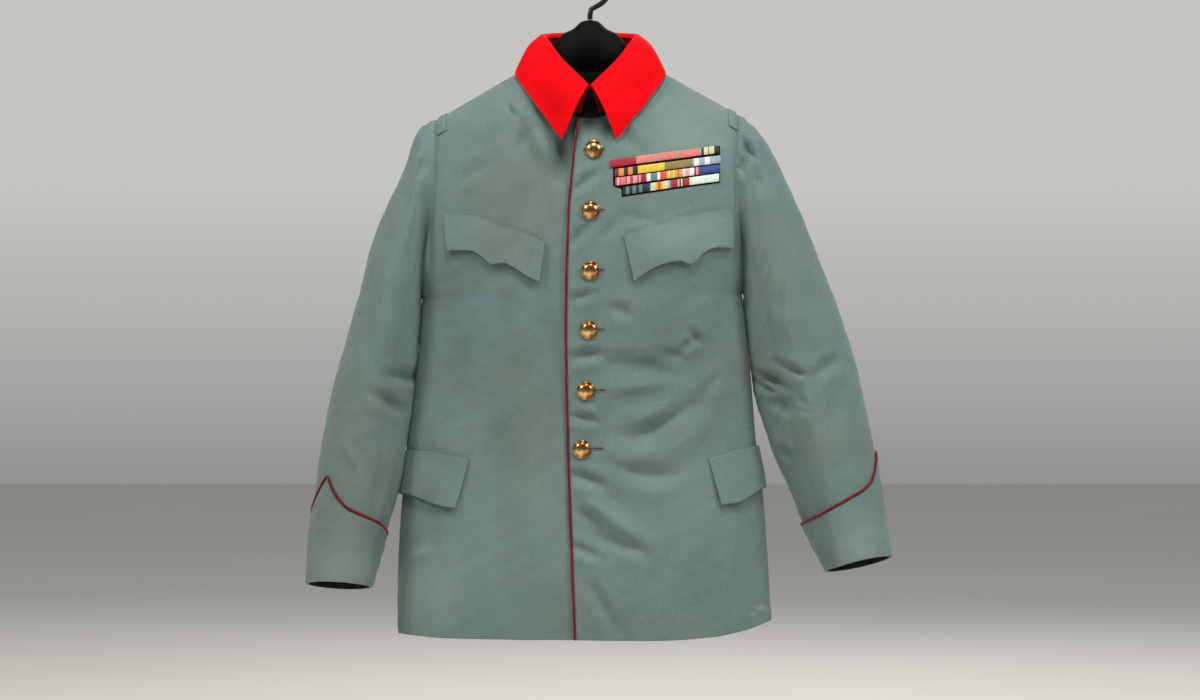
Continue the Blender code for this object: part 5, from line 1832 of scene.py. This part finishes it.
make_hanger()
make_hook()
print("hanger:", 2 * HANGER[-1].x, "mm wide")

# %% [markdown]
# ## What the cloth was cut to
#
# The frame's tools ask for the size that each sheet of cloth was cut to before it was sewn. They
# are the sizes of the finished pieces, laid flat, worked out from the measures above. The loop
# only looks each piece up by its name.

# %% Cuts
Cut = namedtuple("Cut", "wide long area")
CUTS = {
    "tunic_front_left": Cut(0.30, 0.76, 0.187),
    "tunic_front_right": Cut(0.32, 0.76, 0.200),
    "tunic_back": Cut(0.54, 0.76, 0.359),
    "tunic_sleeve_left_top": Cut(0.30, 0.63, 0.146),
    "tunic_sleeve_right_top": Cut(0.30, 0.65, 0.136),
    "tunic_sleeve_left_under": Cut(0.13, 0.39, 0.045),
    "tunic_sleeve_right_under": Cut(0.13, 0.39, 0.048),
    "tunic_cuff_left": Cut(0.32, 0.14, 0.0265),
    "tunic_cuff_right": Cut(0.32, 0.14, 0.0268),
    "collar_band": Cut(0.41, 0.046, 0.0154),
    "collar_leaf": Cut(0.47, 0.10, 0.0332),
    "breast_flap_left": Cut(0.15, 0.065, 0.0077),
    "breast_flap_right": Cut(0.14, 0.060, 0.0066),
    "hip_flap_left": Cut(0.14, 0.066, 0.0081),
    "hip_flap_right": Cut(0.155, 0.068, 0.0093),
    "loop_left": Cut(0.091, 0.013, None),
    "loop_right": Cut(0.091, 0.013, None),
}
for name, cut in CUTS.items():
    piece, flat = bpy.data.objects[name], (cut.wide, cut.long)
print("sheets declared:", len(CUTS))

# %% [markdown]
# ## Studio
#
# A plain pale floor lies well below the hem and a pale world lights everything softly, as a white
# room would. The key lamp hangs above and in front, so every fold has its shade below it. One
# lamp on each side draws the long folds, and a large one behind sets the shoulders off. The camera
# looks level at the tunic from 4.5 m, so that its outline is nearly free of perspective.

# %% Floor, lamps and camera
FLOOR_DOWN = 1150.0
FLOOR_REACH = 12.0
CAMERA_AWAY = 4.5
FRAME_WIDE = 1.584
SENSOR = 36.0
AIM = Vector((0.0132, 0.0, -0.5))


def make_floor():
    work = bmesh.new()
    bmesh.ops.create_grid(work, x_segments=2, y_segments=2, size=FLOOR_REACH)
    mesh = bpy.data.meshes.new("studio_floor")
    work.to_mesh(mesh)
    work.free()
    floor = bpy.data.objects.new(mesh.name, mesh)
    floor.location = (0.0, 0.0, -FLOOR_DOWN * MM)
    made, tree, shader, place = new_material("pale_floor")
    mottle = add(tree, "TexNoise", {"Vector": place, "Scale": 1.5, "Detail": 2.0})
    colour = add(tree, "Mix", {FACTOR: mottle, FIRST: "#e6e4df", SECOND: "#dedcd6"}, data_type="RGBA")
    feed(tree, shader, {"Base Color": colour, "Roughness": 0.8})
    mesh.materials.append(made)
    bpy.context.scene.collection.objects.link(floor)


Lamp = namedtuple("Lamp", "name place size power colour")
LAMPS = table(
    Lamp,
    ("top_key", (0.1, -1.7, 2.5), 0.7, 70.0, "#fffdf8"),
    ("left_key", (-2.1, -1.5, 1.5), 0.7, 41.0, "#fff9f1"),
    ("right_key", (2.1, -1.45, 1.4), 0.7, 41.0, "#f8fbff"),
    ("back", (0.6, 2.6, 1.3), 1.8, 30.0, "#ffffff"),
)


def make_lamp(lamp):
    light = bpy.data.lights.new(lamp.name, "AREA")
    light.shape = "SQUARE"
    light.size = lamp.size
    light.energy = lamp.power
    light.color = linear(lamp.colour)[:3]
    made = bpy.data.objects.new(lamp.name, light)
    made.location = lamp.place
    made.rotation_mode = "QUATERNION"
    made.rotation_quaternion = (AIM - Vector(lamp.place)).to_track_quat("-Z", "Y")
    bpy.context.scene.collection.objects.link(made)


def make_world():
    """Pale wall behind the tunic, dimmer room behind the camera."""
    world = bpy.data.worlds.new("pale_room")
    world.use_nodes = True
    tree = world.node_tree
    place = add(tree, "TexCoord")
    parts = add(tree, "SeparateXYZ", {"Vector": place.outputs["Generated"]})
    share = add(tree, "MapRange", {"Value": parts.outputs["Y"], "From Min": -0.3, "From Max": 0.6})
    colour = add(tree, "Mix", {FACTOR: share, FIRST: "#525251", SECOND: "#c6c5c2"}, data_type="RGBA")
    # The wall darkens towards the floor's far edge, as a curved studio wall does
    rise = add(tree, "MapRange", {"Value": parts.outputs["Z"], "From Min": -0.04, "From Max": 0.05})
    colour = add(tree, "Mix", {FACTOR: rise, FIRST: "#929190", SECOND: colour}, data_type="RGBA")
    feed(tree, tree.nodes["Background"], {"Color": colour})
    bpy.context.scene.world = world


def make_camera():
    lens = bpy.data.cameras.new("camera")
    lens.sensor_width = SENSOR
    lens.lens = SENSOR * CAMERA_AWAY / FRAME_WIDE
    made = bpy.data.objects.new("camera", lens)
    made.location = AIM - Vector((0.0, CAMERA_AWAY, 0.0))
    made.rotation_euler = (math.pi / 2, 0.0, 0.0)
    bpy.context.scene.collection.objects.link(made)
    bpy.context.scene.camera = made
    print("lens:", round(lens.lens, 1), "mm")


make_floor()
make_world()
for lamp in LAMPS:
    make_lamp(lamp)
make_camera()
bpy.context.scene.view_settings.view_transform = "Standard"
bpy.context.scene.view_settings.look = "None"
